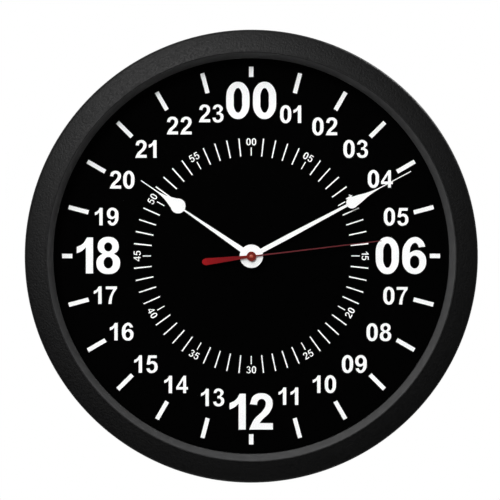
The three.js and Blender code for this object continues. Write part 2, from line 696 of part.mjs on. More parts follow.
function addMotionWork() {
  const { hour, minute, centre } = LAYERS;

  const minuteTube = join(
    tube(MINUTE_TUBE_BORE, MINUTE_TUBE_RADIUS, centre.low, minute.low),
    wheel(CANNON_TEETH, MOTION_DISTANCE, MINUTE_WHEEL_TEETH, 0, minute.low, minute.high, MINUTE_TUBE_BORE),
    tube(MINUTE_TUBE_BORE, MINUTE_TUBE_RADIUS, minute.high, MINUTE_TUBE_FRONT),
  );
  add("minute_tube", minuteTube, BRASS);

  const minutePhase = meshPhase(MOTION_DIRECTION, CANNON_TEETH, 0, MINUTE_WHEEL_TEETH);
  const knobBack = MOVEMENT_BACK - SLIP - KNOB_HEIGHT;
  const arborBack = knobBack + KNOB_FLOOR;
  const minuteGear = [MINUTE_WHEEL_TEETH, MOTION_DISTANCE, CANNON_TEETH, minutePhase];
  const minuteWheel = join(
    disc(SETTING_ARBOR, arborBack + PRESS, FLOOR + PIVOT_DEPTH - SLIP),
    wheel(...minuteGear, minute.low, minute.high),
    wheel(MINUTE_PINION_TEETH, MOTION_DISTANCE, HOUR_WHEEL_TEETH, 0, minute.high - PRESS, hour.high),
  );
  add("minute_wheel", minuteWheel, NYLON, { at: SETTING_AT });

  const hourPhase = meshPhase(MOTION_DIRECTION + 180, MINUTE_PINION_TEETH, 0, HOUR_WHEEL_TEETH);
  const hourGear = [HOUR_WHEEL_TEETH, MOTION_DISTANCE, MINUTE_PINION_TEETH, hourPhase];
  const hourWheel = join(
    wheel(...hourGear, hour.low, hour.high, HOUR_TUBE_BORE),
    tube(HOUR_TUBE_BORE, HOUR_TUBE_RADIUS, hour.low, HOUR_TUBE_FRONT),
  );
  add("hour_wheel", hourWheel, NYLON);

  const knob = plate(knobOutline(), knobBack, MOVEMENT_BACK - SLIP);
  const socket = disc(SETTING_ARBOR + PRESS, arborBack, MOVEMENT_BACK);
  add("setting_knob", cut(knob, socket), MOVEMENT_BLACK, { at: SETTING_AT });
}

// Motor

function addMotor() {
  const front = LAYERS.bridge.low;
  const back = front - STATOR_THICK;
  const armBottom = ROTOR_AT[1] - STATOR_ARM_WIDTH / 2;
  const legTop = COIL_AXIS + CORE_WIDTH / 2;
  const stator = join(
    disc(STATOR_RING_RADIUS, back, front, ROTOR_AT, TUBE_SIDES),
    plate(rectangle(STATOR_LEFT, armBottom, STATOR_RIGHT, armBottom + STATOR_ARM_WIDTH), back, front),
    plate(rectangle(STATOR_LEFT, armBottom, STATOR_LEFT + STATOR_LEG_WIDTH, legTop), back, front),
    plate(rectangle(STATOR_RIGHT - STATOR_LEG_WIDTH, armBottom, STATOR_RIGHT, legTop), back, front),
  );
  const holeRadius = MAGNET_RADIUS + STATOR_AIR;
  const rotorHole = disc(holeRadius, back - OVERCUT, front + OVERCUT, ROTOR_AT, TUBE_SIDES);
  add("stator", cut(stator, rotorHole), IRON);

  const coreBottom = COIL_AXIS - CORE_WIDTH / 2;
  const core = plate(rectangle(STATOR_LEFT, coreBottom, STATOR_RIGHT, legTop), back - CORE_THICK, back);
  add("coil_core", core, IRON);

  const left = STATOR_LEFT + STATOR_LEG_WIDTH + BOBBIN_END_GAP;
  const right = STATOR_RIGHT - STATOR_LEG_WIDTH - BOBBIN_END_GAP;
  const length = right - left;
  const flange = BOBBIN_FLANGE_THICK;
  const spool = turned(
    [
      [0, 0],
      [BOBBIN_FLANGE_RADIUS, 0],
      [BOBBIN_FLANGE_RADIUS, flange],
      [BOBBIN_RADIUS, flange],
      [BOBBIN_RADIUS, length - flange],
      [BOBBIN_FLANGE_RADIUS, length - flange],
      [BOBBIN_FLANGE_RADIUS, length],
      [0, length],
    ],
    TUBE_SIDES,
  );
  const lay = (geometry) => geometry.rotateY(Math.PI / 2).translate(left, COIL_AXIS, back - CORE_THICK / 2);
  const channel = plate(
    rectangle(left - OVERCUT, coreBottom - CORE_FIT, right + OVERCUT, legTop + CORE_FIT),
    back - CORE_THICK - CORE_FIT,
    back + CORE_FIT,
  );
  add("coil_bobbin", cut(lay(spool), channel), MOVEMENT_BLACK);
  const winding = tube(BOBBIN_RADIUS + PRESS, WINDING_RADIUS, flange + PRESS, length - flange - PRESS);
  add("coil_winding", lay(winding), COPPER);
}

// Circuit board, battery and contacts

function addElectrics() {
  const back = BOARD_FRONT - BOARD_THICK;
  const boardOutline = rectangle(BOARD_LEFT, BOARD_BOTTOM, BOARD_RIGHT, BOARD_TOP);
  add("circuit_board", plate(boardOutline, back, BOARD_FRONT), BOARD_GREEN);
  const middle = (BOARD_LEFT + BOARD_RIGHT) / 2;
  const chipAt = [middle, BOARD_BOTTOM + 2 * CHIP_RADIUS];
  const chip = turned(
    [
      [0, BOARD_FRONT],
      [CHIP_RADIUS, BOARD_FRONT],
      [CHIP_RADIUS, BOARD_FRONT + CHIP_HEIGHT - CHIP_EDGE],
      [CHIP_RADIUS - CHIP_EDGE, BOARD_FRONT + CHIP_HEIGHT],
      [0, BOARD_FRONT + CHIP_HEIGHT],
    ],
    ARBOR_SIDES,
  );
  add("clock_chip", chip, MOVEMENT_BLACK, { at: chipAt });
  const crystal = disc(CRYSTAL_RADIUS, 0, CRYSTAL_LENGTH).rotateY(Math.PI / 2);
  const crystalLeft = middle - CRYSTAL_LENGTH / 2;
  crystal.translate(crystalLeft, BOARD_TOP - 3 * CRYSTAL_RADIUS, BOARD_FRONT + CRYSTAL_RADIUS);
  add("quartz_crystal", crystal, STEEL);

  const batteryAxis = (BAY_BOTTOM + BAY_TOP) / 2;
  const batteryHeight = FLOOR - SLIP - BATTERY_RADIUS;
  const half = BATTERY_LENGTH / 2;
  const can = turned(
    [
      [0, -half],
      [BATTERY_RADIUS - BATTERY_CRIMP, -half],
      [BATTERY_RADIUS, -half + BATTERY_CRIMP],
      [BATTERY_RADIUS, half - BATTERY_NUB_LENGTH - BATTERY_CRIMP],
      [BATTERY_RADIUS - BATTERY_CRIMP, half - BATTERY_NUB_LENGTH],
      [BATTERY_NUB_RADIUS, half - BATTERY_NUB_LENGTH],
      [BATTERY_NUB_RADIUS, half],
      [0, half],
    ],
    TUBE_SIDES,
  );
  add("battery_cell", can.rotateY(Math.PI / 2).translate(0, batteryAxis, batteryHeight), BATTERY_WRAP);

  const leafBack = batteryHeight - CONTACT_HEIGHT / 2;
  const inner = half + SLIP;
  const bottom = batteryAxis - CONTACT_WIDTH / 2;
  const top = batteryAxis + CONTACT_WIDTH / 2;
  const leaf = [
    [inner, bottom],
    [inner + CONTACT_THICK, bottom],
    [inner + CONTACT_THICK, top - CONTACT_THICK],
    [INSIDE_RIGHT, top - CONTACT_THICK],
    [INSIDE_RIGHT, top],
    [inner, top],
  ].map(([px, py]) => new THREE.Vector2(px, py));
  const mirrored = leaf.map((p) => new THREE.Vector2(-p.x, p.y)).reverse();
  add("contact_positive", plate(leaf, leafBack, leafBack + CONTACT_HEIGHT), STEEL);
  add("contact_negative", plate(mirrored, leafBack, leafBack + CONTACT_HEIGHT), STEEL);
}

// Hands

// A spade hand that points to 00: a round hub, a tapering stem, a round lobe and a needle.
function spadeHand(hand, bore, low, high) {
  const { lobe } = hand;
  const start = THREE.MathUtils.radToDeg(Math.asin(hand.stem.at(-1)[0] / lobe.radius));
  const lobeArc = [lobe.radius, start - 90, lobe.leave - 90, LOBE_STEPS];
  const lobeSide = arc(0, lobe.distance, ...lobeArc).map((p) => [p.x, p.y]);
  const right = [[hand.stem[0][0], 0], ...hand.stem.slice(0, -1), ...lobeSide, ...hand.needle];
  return handPlate(right, hand.hub, bore, low, high);
}

function handPlate(right, hub, bore, low, high) {
  const left = right.map(([x, y]) => [-x, y]).reverse();
  const outline = [...right, ...left].map(([x, y]) => new THREE.Vector2(x, y));
  const blade = join(plate(outline, low, high), disc(hub, low, high, CENTRE_AT, 2 * TUBE_SIDES));
  return cut(blade, disc(bore, low - OVERCUT, high + OVERCUT, CENTRE_AT, TUBE_SIDES));
}

function secondHand(low, high) {
  const { stem, tail, hub } = SECOND_HAND;
  const tailSide = tail.map(([x, y]) => [x, -y]).reverse();
  const right = [...tailSide, [stem[0][0], 0], ...stem];
  return handPlate(right, hub, RIVET_RADIUS, low, high);
}

function secondHandHub() {
  const neck = RIVET_RADIUS - PRESS;
  const back = SECOND_HAND_BACK - COLLET_LENGTH;
  const front = SECOND_HAND_BACK + HAND_THICK;
  const bore = SECONDS_ARBOR + PRESS;
  const boreFront = SECOND_HAND_BACK + TUBE_PROUD;
  return turned(
    [
      [bore, back],
      [COLLET_RADIUS, back],
      [COLLET_RADIUS, SECOND_HAND_BACK],
      [neck, SECOND_HAND_BACK],
      [neck, front + RIVET_PROUD - RIVET_EDGE],
      [neck - RIVET_EDGE, front + RIVET_PROUD],
      [0, front + RIVET_PROUD],
      [0, boreFront],
      [bore, boreFront],
    ],
    TUBE_SIDES,
  );
}

function addHands() {
  const hourBore = HOUR_TUBE_RADIUS + PRESS;
  const hour = spadeHand(HOUR_HAND, hourBore, HOUR_HAND_BACK, HOUR_HAND_BACK + HAND_THICK);
  add("hour_hand", hour, WHITE_PAINT, { turn: -HOUR_HAND.angle });
  const minuteBore = MINUTE_TUBE_RADIUS + PRESS;
  const minute = spadeHand(MINUTE_HAND, minuteBore, MINUTE_HAND_BACK, MINUTE_HAND_BACK + HAND_THICK);
  add("minute_hand", minute, WHITE_PAINT, { turn: -MINUTE_HAND.angle });
  const second = secondHand(SECOND_HAND_BACK, SECOND_HAND_BACK + HAND_THICK);
  add("second_hand", second, RED_PAINT, { turn: -SECOND_HAND.angle });
  add("second_hand_hub", secondHandHub(), RED_PAINT);
}

addCase();
addMovementCase();
addGoingTrain();
addMotionWork();
addMotor();
addElectrics();
addHands();

export default clock;
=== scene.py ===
import math

import bpy
from mathutils import Matrix, Vector


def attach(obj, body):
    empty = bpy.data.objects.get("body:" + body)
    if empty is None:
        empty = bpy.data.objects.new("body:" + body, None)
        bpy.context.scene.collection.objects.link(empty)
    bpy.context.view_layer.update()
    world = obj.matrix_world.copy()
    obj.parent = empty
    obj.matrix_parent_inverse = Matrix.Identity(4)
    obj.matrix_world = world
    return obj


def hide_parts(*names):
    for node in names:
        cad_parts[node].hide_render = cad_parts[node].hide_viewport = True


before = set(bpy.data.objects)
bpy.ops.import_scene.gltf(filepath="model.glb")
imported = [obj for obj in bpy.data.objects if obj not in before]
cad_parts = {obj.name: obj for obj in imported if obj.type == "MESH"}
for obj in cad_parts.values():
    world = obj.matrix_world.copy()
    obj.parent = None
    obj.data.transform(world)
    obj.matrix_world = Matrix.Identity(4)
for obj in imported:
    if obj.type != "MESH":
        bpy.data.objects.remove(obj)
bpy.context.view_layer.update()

MM = 0.001


# Camera, light and ground, in metres

# The photograph's frame is 500 pixels wide. The rim is 452.3 pixels across in it.
AIM = Vector((-0.00085, -0.038, 0.00377))
VIEW_TURN = math.radians(-0.6)
VIEW_RISE = math.radians(1.55)
CAMERA_DISTANCE = 1.4
LENS_MM = 179.86
SENSOR_MM = 36

# Levels of the world's light, and the bands of direction over which they change. A direction's
# parts run from -1 to 1.
WHITE = (1, 1, 1, 1)
SOFT_LEVELS = (0.06, 0.5)
SOFT_BAND = (-0.9, 0.9)
ROOM_LEVELS = (0.045, 0.2)
ROOM_BAND = (-0.5, 0.2)
FRONT_LEVEL = 0.005
FRONT_BAND = (-0.94, -0.82)
BACK_BAND = (0.2, 0.8)

GROUND_PLACE = (0, 0.22, -1.0)
GROUND_RADIUS = 0.5
GROUND_FADE = (0.25, 0.49)
GROUND_COLOR = (0.8, 0.8, 0.8, 1)


def add_camera():
    sight = Vector((
        -math.sin(VIEW_TURN) * math.cos(VIEW_RISE),
        math.cos(VIEW_TURN) * math.cos(VIEW_RISE),
        -math.sin(VIEW_RISE),
    ))
    data = bpy.data.cameras.new("camera")
    data.sensor_width = SENSOR_MM
    data.lens = LENS_MM
    camera = bpy.data.objects.new("camera", data)
    camera.location = AIM - sight * CAMERA_DISTANCE
    camera.rotation_mode = "QUATERNION"
    camera.rotation_quaternion = sight.to_track_quat("-Z", "Y")
    bpy.context.scene.collection.objects.link(camera)
    bpy.context.scene.camera = camera


def add_lamp(name, place, size, power):
    data = bpy.data.lights.new(name, "AREA")
    data.shape = "DISK"
    data.size = size
    data.energy = power
    lamp = bpy.data.objects.new(name, data)
    lamp.location = place
    lamp.rotation_mode = "QUATERNION"
    lamp.rotation_quaternion = (AIM - Vector(place)).to_track_quat("-Z", "Y")
    lamp.visible_camera = False
    bpy.context.scene.collection.objects.link(lamp)


def add_world():
    """Soft light, more of it from above. Gloss sees white behind the clock, a dim room at its
    sides and dark straight in front."""
    world = bpy.data.worlds.new("studio")
    bpy.context.scene.world = world
    world.use_nodes = True
    tree = Tree(world.node_tree)
    way = tree.add("ShaderNodeTexCoord")
    split = tree.add("ShaderNodeSeparateXYZ", Vector=way.outputs["Generated"])
    backward = split.outputs["Y"]
    upward = split.outputs["Z"]
    room = tree.between(upward, *ROOM_BAND, *ROOM_LEVELS)
    aside = tree.between(backward, *FRONT_BAND, FRONT_LEVEL, room)
    behind = tree.between(backward, *BACK_BAND, aside, 1.0)
    level = tree.between(upward, *SOFT_BAND, *SOFT_LEVELS)
    soft = tree.add("ShaderNodeBackground", Color=WHITE, Strength=level)
    backdrop = tree.add("ShaderNodeBackground", Color=WHITE, Strength=1.0)
    mirrored = tree.add("ShaderNodeBackground", Color=WHITE, Strength=behind)
    path = tree.add("ShaderNodeLightPath")
    seen = tree.math("MAXIMUM", path.outputs["Is Camera Ray"], path.outputs["Is Transmission Ray"])
    glossy = tree.mix(path.outputs["Is Glossy Ray"], soft, mirrored)
    shown = tree.mix(seen, glossy, backdrop)
    tree.add("ShaderNodeOutputWorld", Surface=shown.outputs["Shader"])


class Tree:
    """A node tree with short words for adding nodes and links."""

    def __init__(self, tree, fresh=True):
        self.tree = tree
        if fresh:
            tree.nodes.clear()

    def first(self, kind):
        return next(node for node in self.tree.nodes if node.type == kind)

    def add(self, kind, **inputs):
        node = self.tree.nodes.new(kind)
        for name, value in inputs.items():
            self.set(node.inputs[name.replace("_", " ")], value)
        return node

    def set(self, socket, value):
        if isinstance(value, bpy.types.NodeSocket):
            self.link(value, socket)
        else:
            socket.default_value = value

    def link(self, source, target):
        self.tree.links.new(source, target)

    def between(self, value, start, stop, low, high):
        """Low up to the start, high from the stop on, and even in between."""
        node = self.tree.nodes.new("ShaderNodeMapRange")
        self.set(node.inputs["Value"], value)
        ends = {"From Min": start, "From Max": stop, "To Min": low, "To Max": high}
        for name, number in ends.items():
            self.set(node.inputs[name], number)
        return node.outputs["Result"]

    def math(self, operation, a, b):
        node = self.tree.nodes.new("ShaderNodeMath")
        node.operation = operation
        self.set(node.inputs[0], a)
        self.set(node.inputs[1], b)
        return node.outputs["Value"]

    def mix(self, share, first, second):
        node = self.tree.nodes.new("ShaderNodeMixShader")
        self.set(node.inputs["Fac"], share)
        self.link(first.outputs[0], node.inputs[1])
        self.link(second.outputs[0], node.inputs[2])
        return node


def add_ground():
    """A pale floor far below, which fades into the white backdrop."""
    bpy.ops.object.select_all(action="DESELECT")
    bpy.ops.mesh.primitive_circle_add(
        vertices=96,
        radius=GROUND_RADIUS,
        fill_type="NGON",
        location=GROUND_PLACE,
    )
    ground = bpy.context.object
    ground.name = "ground"
    material = bpy.data.materials.new("ground_pale")
    material.use_nodes = True
    tree = Tree(material.node_tree)
    place = tree.add("ShaderNodeTexCoord")
    reach = tree.add("ShaderNodeVectorMath", Vector=place.outputs["Object"])
    reach.operation = "LENGTH"
    fade = tree.between(reach.outputs["Value"], *GROUND_FADE, 0.0, 1.0)
    rays = tree.add("ShaderNodeLightPath")
    clean = tree.math("MULTIPLY", fade, rays.outputs["Is Camera Ray"])
    floor = tree.add("ShaderNodeBsdfDiffuse", Color=GROUND_COLOR)
    white = tree.add("ShaderNodeEmission", Color=WHITE, Strength=1.0)
    shown = tree.mix(clean, floor, white)
    tree.add("ShaderNodeOutputMaterial", Surface=shown.outputs["Shader"])
    ground.data.materials.append(material)


# Materials

# Depths of the surface grain in metres
FAINT = 0.000004
FINE = 0.00002

# How much larger the colour's drift is than the grain
DRIFT = 12

# Where the ring's satin turns matt, along Y in metres, and the matt side's colour: a painted sheen
MATT_AND_SHEEN_BAND = (-0.0395, -0.033)
PAINTED_SHEEN_COLOR = (0.016, 0.016, 0.0165)

GLASS_INDEX = 1.45


def finish_of(name, color, roughness, grain=2600.0, depth=FINE, shade=0.12, spread=0.06, **sockets):
    """A plain finish: the colour drifts by the share called shade and the roughness by the spread,
    and the surface has a fine grain of a scale and a depth."""
    material = bpy.data.materials.new(name)
    material.use_nodes = True
    tree = Tree(material.node_tree)
    shader = tree.add("ShaderNodeBsdfPrincipled", **sockets)
    place = tree.add("ShaderNodeTexCoord").outputs["Object"]
    drift = tree.add("ShaderNodeTexNoise", Vector=place, Scale=grain / DRIFT, Detail=4.0)
    tones = tree.add("ShaderNodeValToRGB", Fac=drift.outputs["Fac"])
    ends = ((0.3, 1 - shade), (0.7, 1 + shade))
    for element, (position, share) in zip(tones.color_ramp.elements, ends):
        element.position = position
        element.color = (*[min(1.0, c * share) for c in color], 1)
    tree.link(tones.outputs["Color"], shader.inputs["Base Color"])
    fine = tree.add("ShaderNodeTexNoise", Vector=place, Scale=grain, Detail=3.0)
    smoothest = max(0.02, roughness - spread)
    roughest = min(1.0, roughness + spread)
    rough = tree.between(fine.outputs["Fac"], 0.0, 1.0, smoothest, roughest)
    tree.link(rough, shader.inputs["Roughness"])
    bump = tree.add("ShaderNodeBump", Strength=0.5, Distance=depth, Height=fine.outputs["Fac"])
    tree.link(bump.outputs["Normal"], shader.inputs["Normal"])
    tree.add("ShaderNodeOutputMaterial", Surface=shader.outputs["BSDF"])
    return material


def brushed_of(name, color, roughness, stretch):
    """A metal with fine lines along one direction: stretch scales the pattern on each axis."""
    material = finish_of(name, color, roughness, shade=0.08, Metallic=1.0)
    tree = Tree(material.node_tree, fresh=False)
    place = tree.first("TEX_COORD").outputs["Object"]
    lines = tree.add("ShaderNodeMapping", Vector=place, Scale=stretch)
    for node in material.node_tree.nodes:
        if node.type == "TEX_NOISE":
            tree.link(lines.outputs["Vector"], node.inputs["Vector"])
    return material


def clear_of(name):
    """Clear flat glass: a Fresnel share of gloss over a see-through sheet."""
    material = bpy.data.materials.new(name)
    material.use_nodes = True
    tree = Tree(material.node_tree)
    through = tree.add("ShaderNodeBsdfTransparent", Color=(0.997, 0.999, 0.998, 1))
    gloss = tree.add("ShaderNodeBsdfGlossy", Roughness=0.02)
    sheet = tree.add("ShaderNodeNewGeometry")
    bend = tree.between(sheet.outputs["Backfacing"], 0.0, 1.0, GLASS_INDEX, 1 / GLASS_INDEX)
    share = tree.add("ShaderNodeFresnel", IOR=bend)
    shown = tree.mix(share.outputs["Fac"], through, gloss)
    tree.add("ShaderNodeOutputMaterial", Surface=shown.outputs["Shader"])
    return material


def along_axis(tree, axis, start, stop):
    """A share that runs from 0 to 1 between two places in metres along one of the clock's axes."""
    place = tree.first("TEX_COORD").outputs["Object"]
    split = tree.add("ShaderNodeSeparateXYZ", Vector=place)
    return tree.between(split.outputs[axis], start, stop, 0.0, 1.0)


def red_of(name):
    """Paint of the sweep hand: red tail, brown hub, dull red blade."""
    tail_end, tip = -0.027, 0.074
    stops = (
        (0.0, (0.25, 0.005, 0.007)),
        (0.06, (0.2, 0.005, 0.007)),
        (0.18, (0.15, 0.005, 0.008)),
        (0.23, (0.14, 0.012, 0.008)),
        (0.30, (0.14, 0.012, 0.008)),
        (0.33, (0.1, 0.016, 0.02)),
        (1.0, (0.095, 0.018, 0.022)),
    )
    material = finish_of(name, stops[0][1], 0.45, depth=FAINT, Specular_IOR_Level=0.04)
    tree = Tree(material.node_tree, fresh=False)
    ramp = tree.first("VALTORGB")
    tree.link(along_axis(tree, "X", tail_end, tip), ramp.inputs["Fac"])
    elements = ramp.color_ramp.elements
    elements[0].position = 0.0
    elements[1].position = 1.0
    for position, color in stops[1:-1]:
        elements.new(position)
    for element, (position, color) in zip(elements, stops):
        element.color = (*color, 1)
    return material


def ring_of(name):
    """The case's black plastic: satin on the face, matt and painted lighter as a sheen where it turns
    down to the side.
    """
    face_color = (0.0015, 0.0015, 0.0016)
    material = finish_of(name, face_color, 0.55, 900.0, 0.0005, spread=0.3, Specular_IOR_Level=0.19)
    tree = Tree(material.node_tree, fresh=False)
    shader = tree.first("BSDF_PRINCIPLED")
    side = along_axis(tree, "Y", *MATT_AND_SHEEN_BAND)
    # Towards the side the roughness goes matt and the colour turns to the lighter one that paints its
    # sheen
    for socket, matt_and_painted_sheen in (("Base Color", (*PAINTED_SHEEN_COLOR, 1)), ("Roughness", 1.0)):
        face = shader.inputs[socket].links[0].from_socket
        blend = tree.add("ShaderNodeMix")
        blend.data_type = "RGBA" if socket == "Base Color" else "FLOAT"
        share, plain, other = [s for s in blend.inputs if s.enabled and s.name in ("Factor", "A", "B")]
        tree.set(share, side)
        tree.set(plain, face)
        tree.set(other, matt_and_painted_sheen)
        tree.link(next(s for s in blend.outputs if s.enabled), shader.inputs[socket])
    return material


RING_BLACK = ring_of("ring_black")
# The side: the ring's black plastic made matt and painted lighter than the face as a sheen
SIDE_MATT_PAINTED_SHEEN = finish_of("side_matt_painted_sheen", PAINTED_SHEEN_COLOR, 0.9, 900.0, 0.00003, Specular_IOR_Level=0.0)
# The bevel: the ring's black plastic painted lighter, a painted light standing in for the lamps' light on
# it
BEVEL_PAINTED_LIGHTER = finish_of("bevel_painted_lighter", (0.0455, 0.0455, 0.046), 0.6, depth=FAINT, Specular_IOR_Level=0.06)
COVER_BLACK = finish_of(
    "cover_black", (0.014, 0.014, 0.015), 0.5, 1500.0, 0.00005, Specular_IOR_Level=0.3
)
MOVEMENT_BLACK = finish_of(
    "movement_black", (0.02, 0.02, 0.021), 0.42, 2200.0, 0.00003, Specular_IOR_Level=0.4
)
RUBBER_BLACK = finish_of("rubber_black", (0.012, 0.012, 0.012), 0.85)
DIAL_BLACK = finish_of("dial_black", (0.0003, 0.0003, 0.0003), 0.8, depth=FAINT, Specular_IOR_Level=0.006)
PRINT_WHITE = finish_of(
    "print_white", (0.94, 0.94, 0.94), 0.6, depth=FAINT, shade=0.01, Specular_IOR_Level=0.4
)
MARK_GREY = finish_of("mark_grey", (0.24, 0.24, 0.24), 0.6, depth=FAINT, Specular_IOR_Level=0.3)
HAND_WHITE = finish_of(
    "hand_white", (0.88, 0.88, 0.88), 0.45, depth=FAINT, shade=0.01, Specular_IOR_Level=0.25
)
HAND_RED = red_of("hand_red")
HUB_RED = finish_of("hub_red", (0.36, 0.058, 0.028), 0.4, depth=FAINT, shade=0.06)
NYLON = finish_of("nylon", (0.78, 0.74, 0.62), 0.5, shade=0.04, Subsurface_Weight=0.1)
BOARD_GREEN = finish_of("board_green", (0.03, 0.13, 0.055), 0.45, grain=900.0)
SLEEVE_BLUE = finish_of(
    "sleeve_blue", (0.012, 0.075, 0.26), 0.28, depth=FAINT, shade=0.03, Coat_Weight=0.4
)
SLEEVE_PALE = finish_of(
    "sleeve_pale", (0.55, 0.56, 0.57), 0.3, depth=FAINT, shade=0.03, Coat_Weight=0.4
)
MAGNET_GREY = finish_of("magnet_grey", (0.05, 0.05, 0.055), 0.45, Metallic=0.4)
BRASS = brushed_of("brass_turned", (0.76, 0.54, 0.22), 0.3, (1, 6, 1))
STEEL = brushed_of("steel_plated", (0.48, 0.48, 0.49), 0.35, (1, 4, 1))
IRON = brushed_of("iron_sheet", (0.42, 0.42, 0.43), 0.45, (6, 1, 1))
COPPER = brushed_of("copper_wire", (0.72, 0.33, 0.14), 0.35, (12, 1, 1))
CLEAR = clear_of("lens_clear")


# Shaping: sizes in millimetres, angles in degrees

# Sides of the large rings and round sheets
SMOOTH = 256


def deselect():
    if bpy.context.mode != "OBJECT":
        bpy.ops.object.mode_set(mode="OBJECT")
    bpy.ops.object.select_all(action="DESELECT")


def pick(piece):
    """The piece alone is selected and active."""
    deselect()
    piece.select_set(True)
    bpy.context.view_layer.objects.active = piece


def settle(piece):
    """The piece's place goes into its mesh."""
    pick(piece)
    bpy.ops.object.transform_apply(location=True, rotation=True, scale=True)


def close_up(piece, crease=32):
    """Doubles merged, normals outwards, smooth but for edges sharper than the crease."""
    pick(piece)
    bpy.ops.object.mode_set(mode="EDIT")
    bpy.ops.mesh.select_all(action="SELECT")
    bpy.ops.mesh.remove_doubles(threshold=1e-6)
    bpy.ops.mesh.normals_make_consistent(inside=False)
    bpy.ops.object.mode_set(mode="OBJECT")
    bpy.ops.object.shade_smooth_by_angle(angle=math.radians(crease))


def turned(name, profile, sides=SMOOTH, solid=False):
    """A ring or solid turned about the clock's axis, from (radius, height from the wall)."""
    deselect()
    radius, height = profile[0]
    bpy.ops.mesh.primitive_circle_add(
        vertices=sides,
        radius=radius * MM,
        fill_type="NGON" if solid else "NOTHING",
        location=(0, -height * MM, 0),
        rotation=(math.pi / 2, 0, 0),
    )
    piece = bpy.context.object
    piece.name = name
    settle(piece)
    bpy.ops.object.mode_set(mode="EDIT")
    bpy.ops.mesh.select_all(action="SELECT")
    for next_radius, next_height in profile[1:]:
        rise = (height - next_height) * MM
        bpy.ops.mesh.extrude_region_move(TRANSFORM_OT_translate={"value": (0, rise, 0)})
        share = next_radius / radius
        centre = (0, -next_height * MM, 0)
        bpy.ops.transform.resize(value=(share, 1, share), center_override=centre)
        radius, height = next_radius, next_height
    bpy.ops.object.mode_set(mode="OBJECT")
    close_up(piece)
    return piece


def spot(x, y, radius, angle):
    """The point at an angle from the first axis on a circle about (x, y)."""
    turn = math.radians(angle)
    return (x + radius * math.cos(turn), y + radius * math.sin(turn))


def rounded(x, y, radius, start, stop, steps=6):
    """Points of an arc about (x, y)."""
    return [spot(x, y, radius, start + (stop - start) * i / steps) for i in range(steps + 1)]


def circle(radius, at=(0, 0), sides=96):
    return rounded(*at, radius, 0, 360, sides)[:-1]


def cross(reach, half, x=0.0, y=0.0):
    """A plus sign about (x, y): each arm is the last one turned by a quarter."""
    arm = [(half, half), (half, reach), (-half, reach)]
    loop = []
    for _ in range(4):
        loop += [(x + a, y + b) for a, b in arm]
        arm = [(-b, a) for a, b in arm]
    return loop


def flat(name, loops, low, high, edge=0.0, trim=0.0):
    """A sheet cut to closed loops of (x, z), less a trim, between two heights from the wall."""
    data = bpy.data.curves.new(name, "CURVE")
    data.dimensions = "2D"
    data.fill_mode = "BOTH"
    data.extrude = ((high - low) / 2 - edge) * MM
    data.bevel_depth = edge * MM
    data.bevel_resolution = 1
    data.offset = -(edge + trim) * MM
    for loop in loops:
        add_loop(data, loop)
    return stood_up(name, data, (low + high) / 2)


def add_loop(data, loop):
    """A closed spline. Where points have a third value the spline is soft, and 1 is a corner."""
    soft = any(len(point) == 3 for point in loop)
    spline = data.splines.new("BEZIER" if soft else "POLY")
    points = spline.bezier_points if soft else spline.points
    points.add(len(loop) - 1)
    for point, (x, y, *corner) in zip(points, loop):
        if soft:
            point.co = (x * MM, y * MM, 0)
            sharp = corner == [1]
            point.handle_left_type = point.handle_right_type = "VECTOR" if sharp else "AUTO"
        else:
            point.co = (x * MM, y * MM, 0, 1)
    spline.use_cyclic_u = True
    spline.resolution_u = 8


def stood_up(name, data, height):
    """A flat curve made a mesh that faces the viewer at a height from the wall."""
    piece = bpy.data.objects.new(name, data)
    bpy.context.scene.collection.objects.link(piece)
    pick(piece)
    bpy.ops.object.convert(target="MESH")
    piece = bpy.context.object
    piece.rotation_euler = (math.pi / 2, 0, 0)
    piece.location = (0, -height * MM, 0)
    settle(piece)
    close_up(piece, crease=20)
    return piece


def moved(piece, x=0.0, z=0.0, turn=0.0):
    """Turned clockwise as seen from the front, then moved across the dial."""
    turning = Matrix.Rotation(math.radians(turn), 4, "Y")
    piece.matrix_world = Matrix.Translation((x * MM, 0, z * MM)) @ turning @ piece.matrix_world
    settle(piece)
    return piece


def copied(piece, name):
    twin = piece.copy()
    twin.data = piece.data.copy()
    twin.name = name
    bpy.context.scene.collection.objects.link(twin)
    return twin


def joined(name, parts):
    deselect()
    for part in parts:
        part.select_set(True)
    bpy.context.view_layer.objects.active = parts[0]
    bpy.ops.object.join()
    piece = bpy.context.object
    piece.name = name
    return piece


def cut_out(piece, cutter):
    modifier = piece.modifiers.new("cut", "BOOLEAN")
    modifier.operation = "DIFFERENCE"
    modifier.solver = "EXACT"
    modifier.object = cutter
    pick(piece)
    bpy.ops.object.modifier_apply(modifier="cut")
    bpy.data.objects.remove(cutter)


def dress(piece, material, body, slot=None, *nodes):
    """Paint, body and the solids that the piece stands for; the slot is not used."""
    piece.data.materials.clear()
    piece.data.materials.append(material)
    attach(piece, body)
    if nodes:
        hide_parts(*nodes)


# Case: radii from the axis and heights from the wall

RIM = 127.0
RIM_ROUND = 2.6
RIM_SHOULDER = 38.0
RIM_FOOT = 126.0
FOOT_EDGE = 0.3
CREST = 114.5
CREST_ROUND = 0.8
CREST_MIDDLE = 43.2
FACE_CROWN = 0.2

# Angles at which the face leaves the rim's round and meets the crest's, and the bevel leaves it
RIM_LEAVE = 70
CREST_MEET = 60
CREST_LEAVE = 150

SIGHT = 111.1
SIGHT_TOP = 37.4
SIGHT_EDGE = 0.1
WALL_BORE = 123.6
WELL = 114.2
WELL_WALL = 116.4
WELL_FOOT = 18.0
HOLLOW_TOP = 40.6
PLATE = 113.9
SPACER_BORE = 112.0
GLASS_TOP = 36.2
GLASS_FOOT = 34.2
GLASS_EDGE = 0.2
DIAL_TOP = 23.0
DIAL_FOOT = 21.8
BUSH_HOLE = 4.3

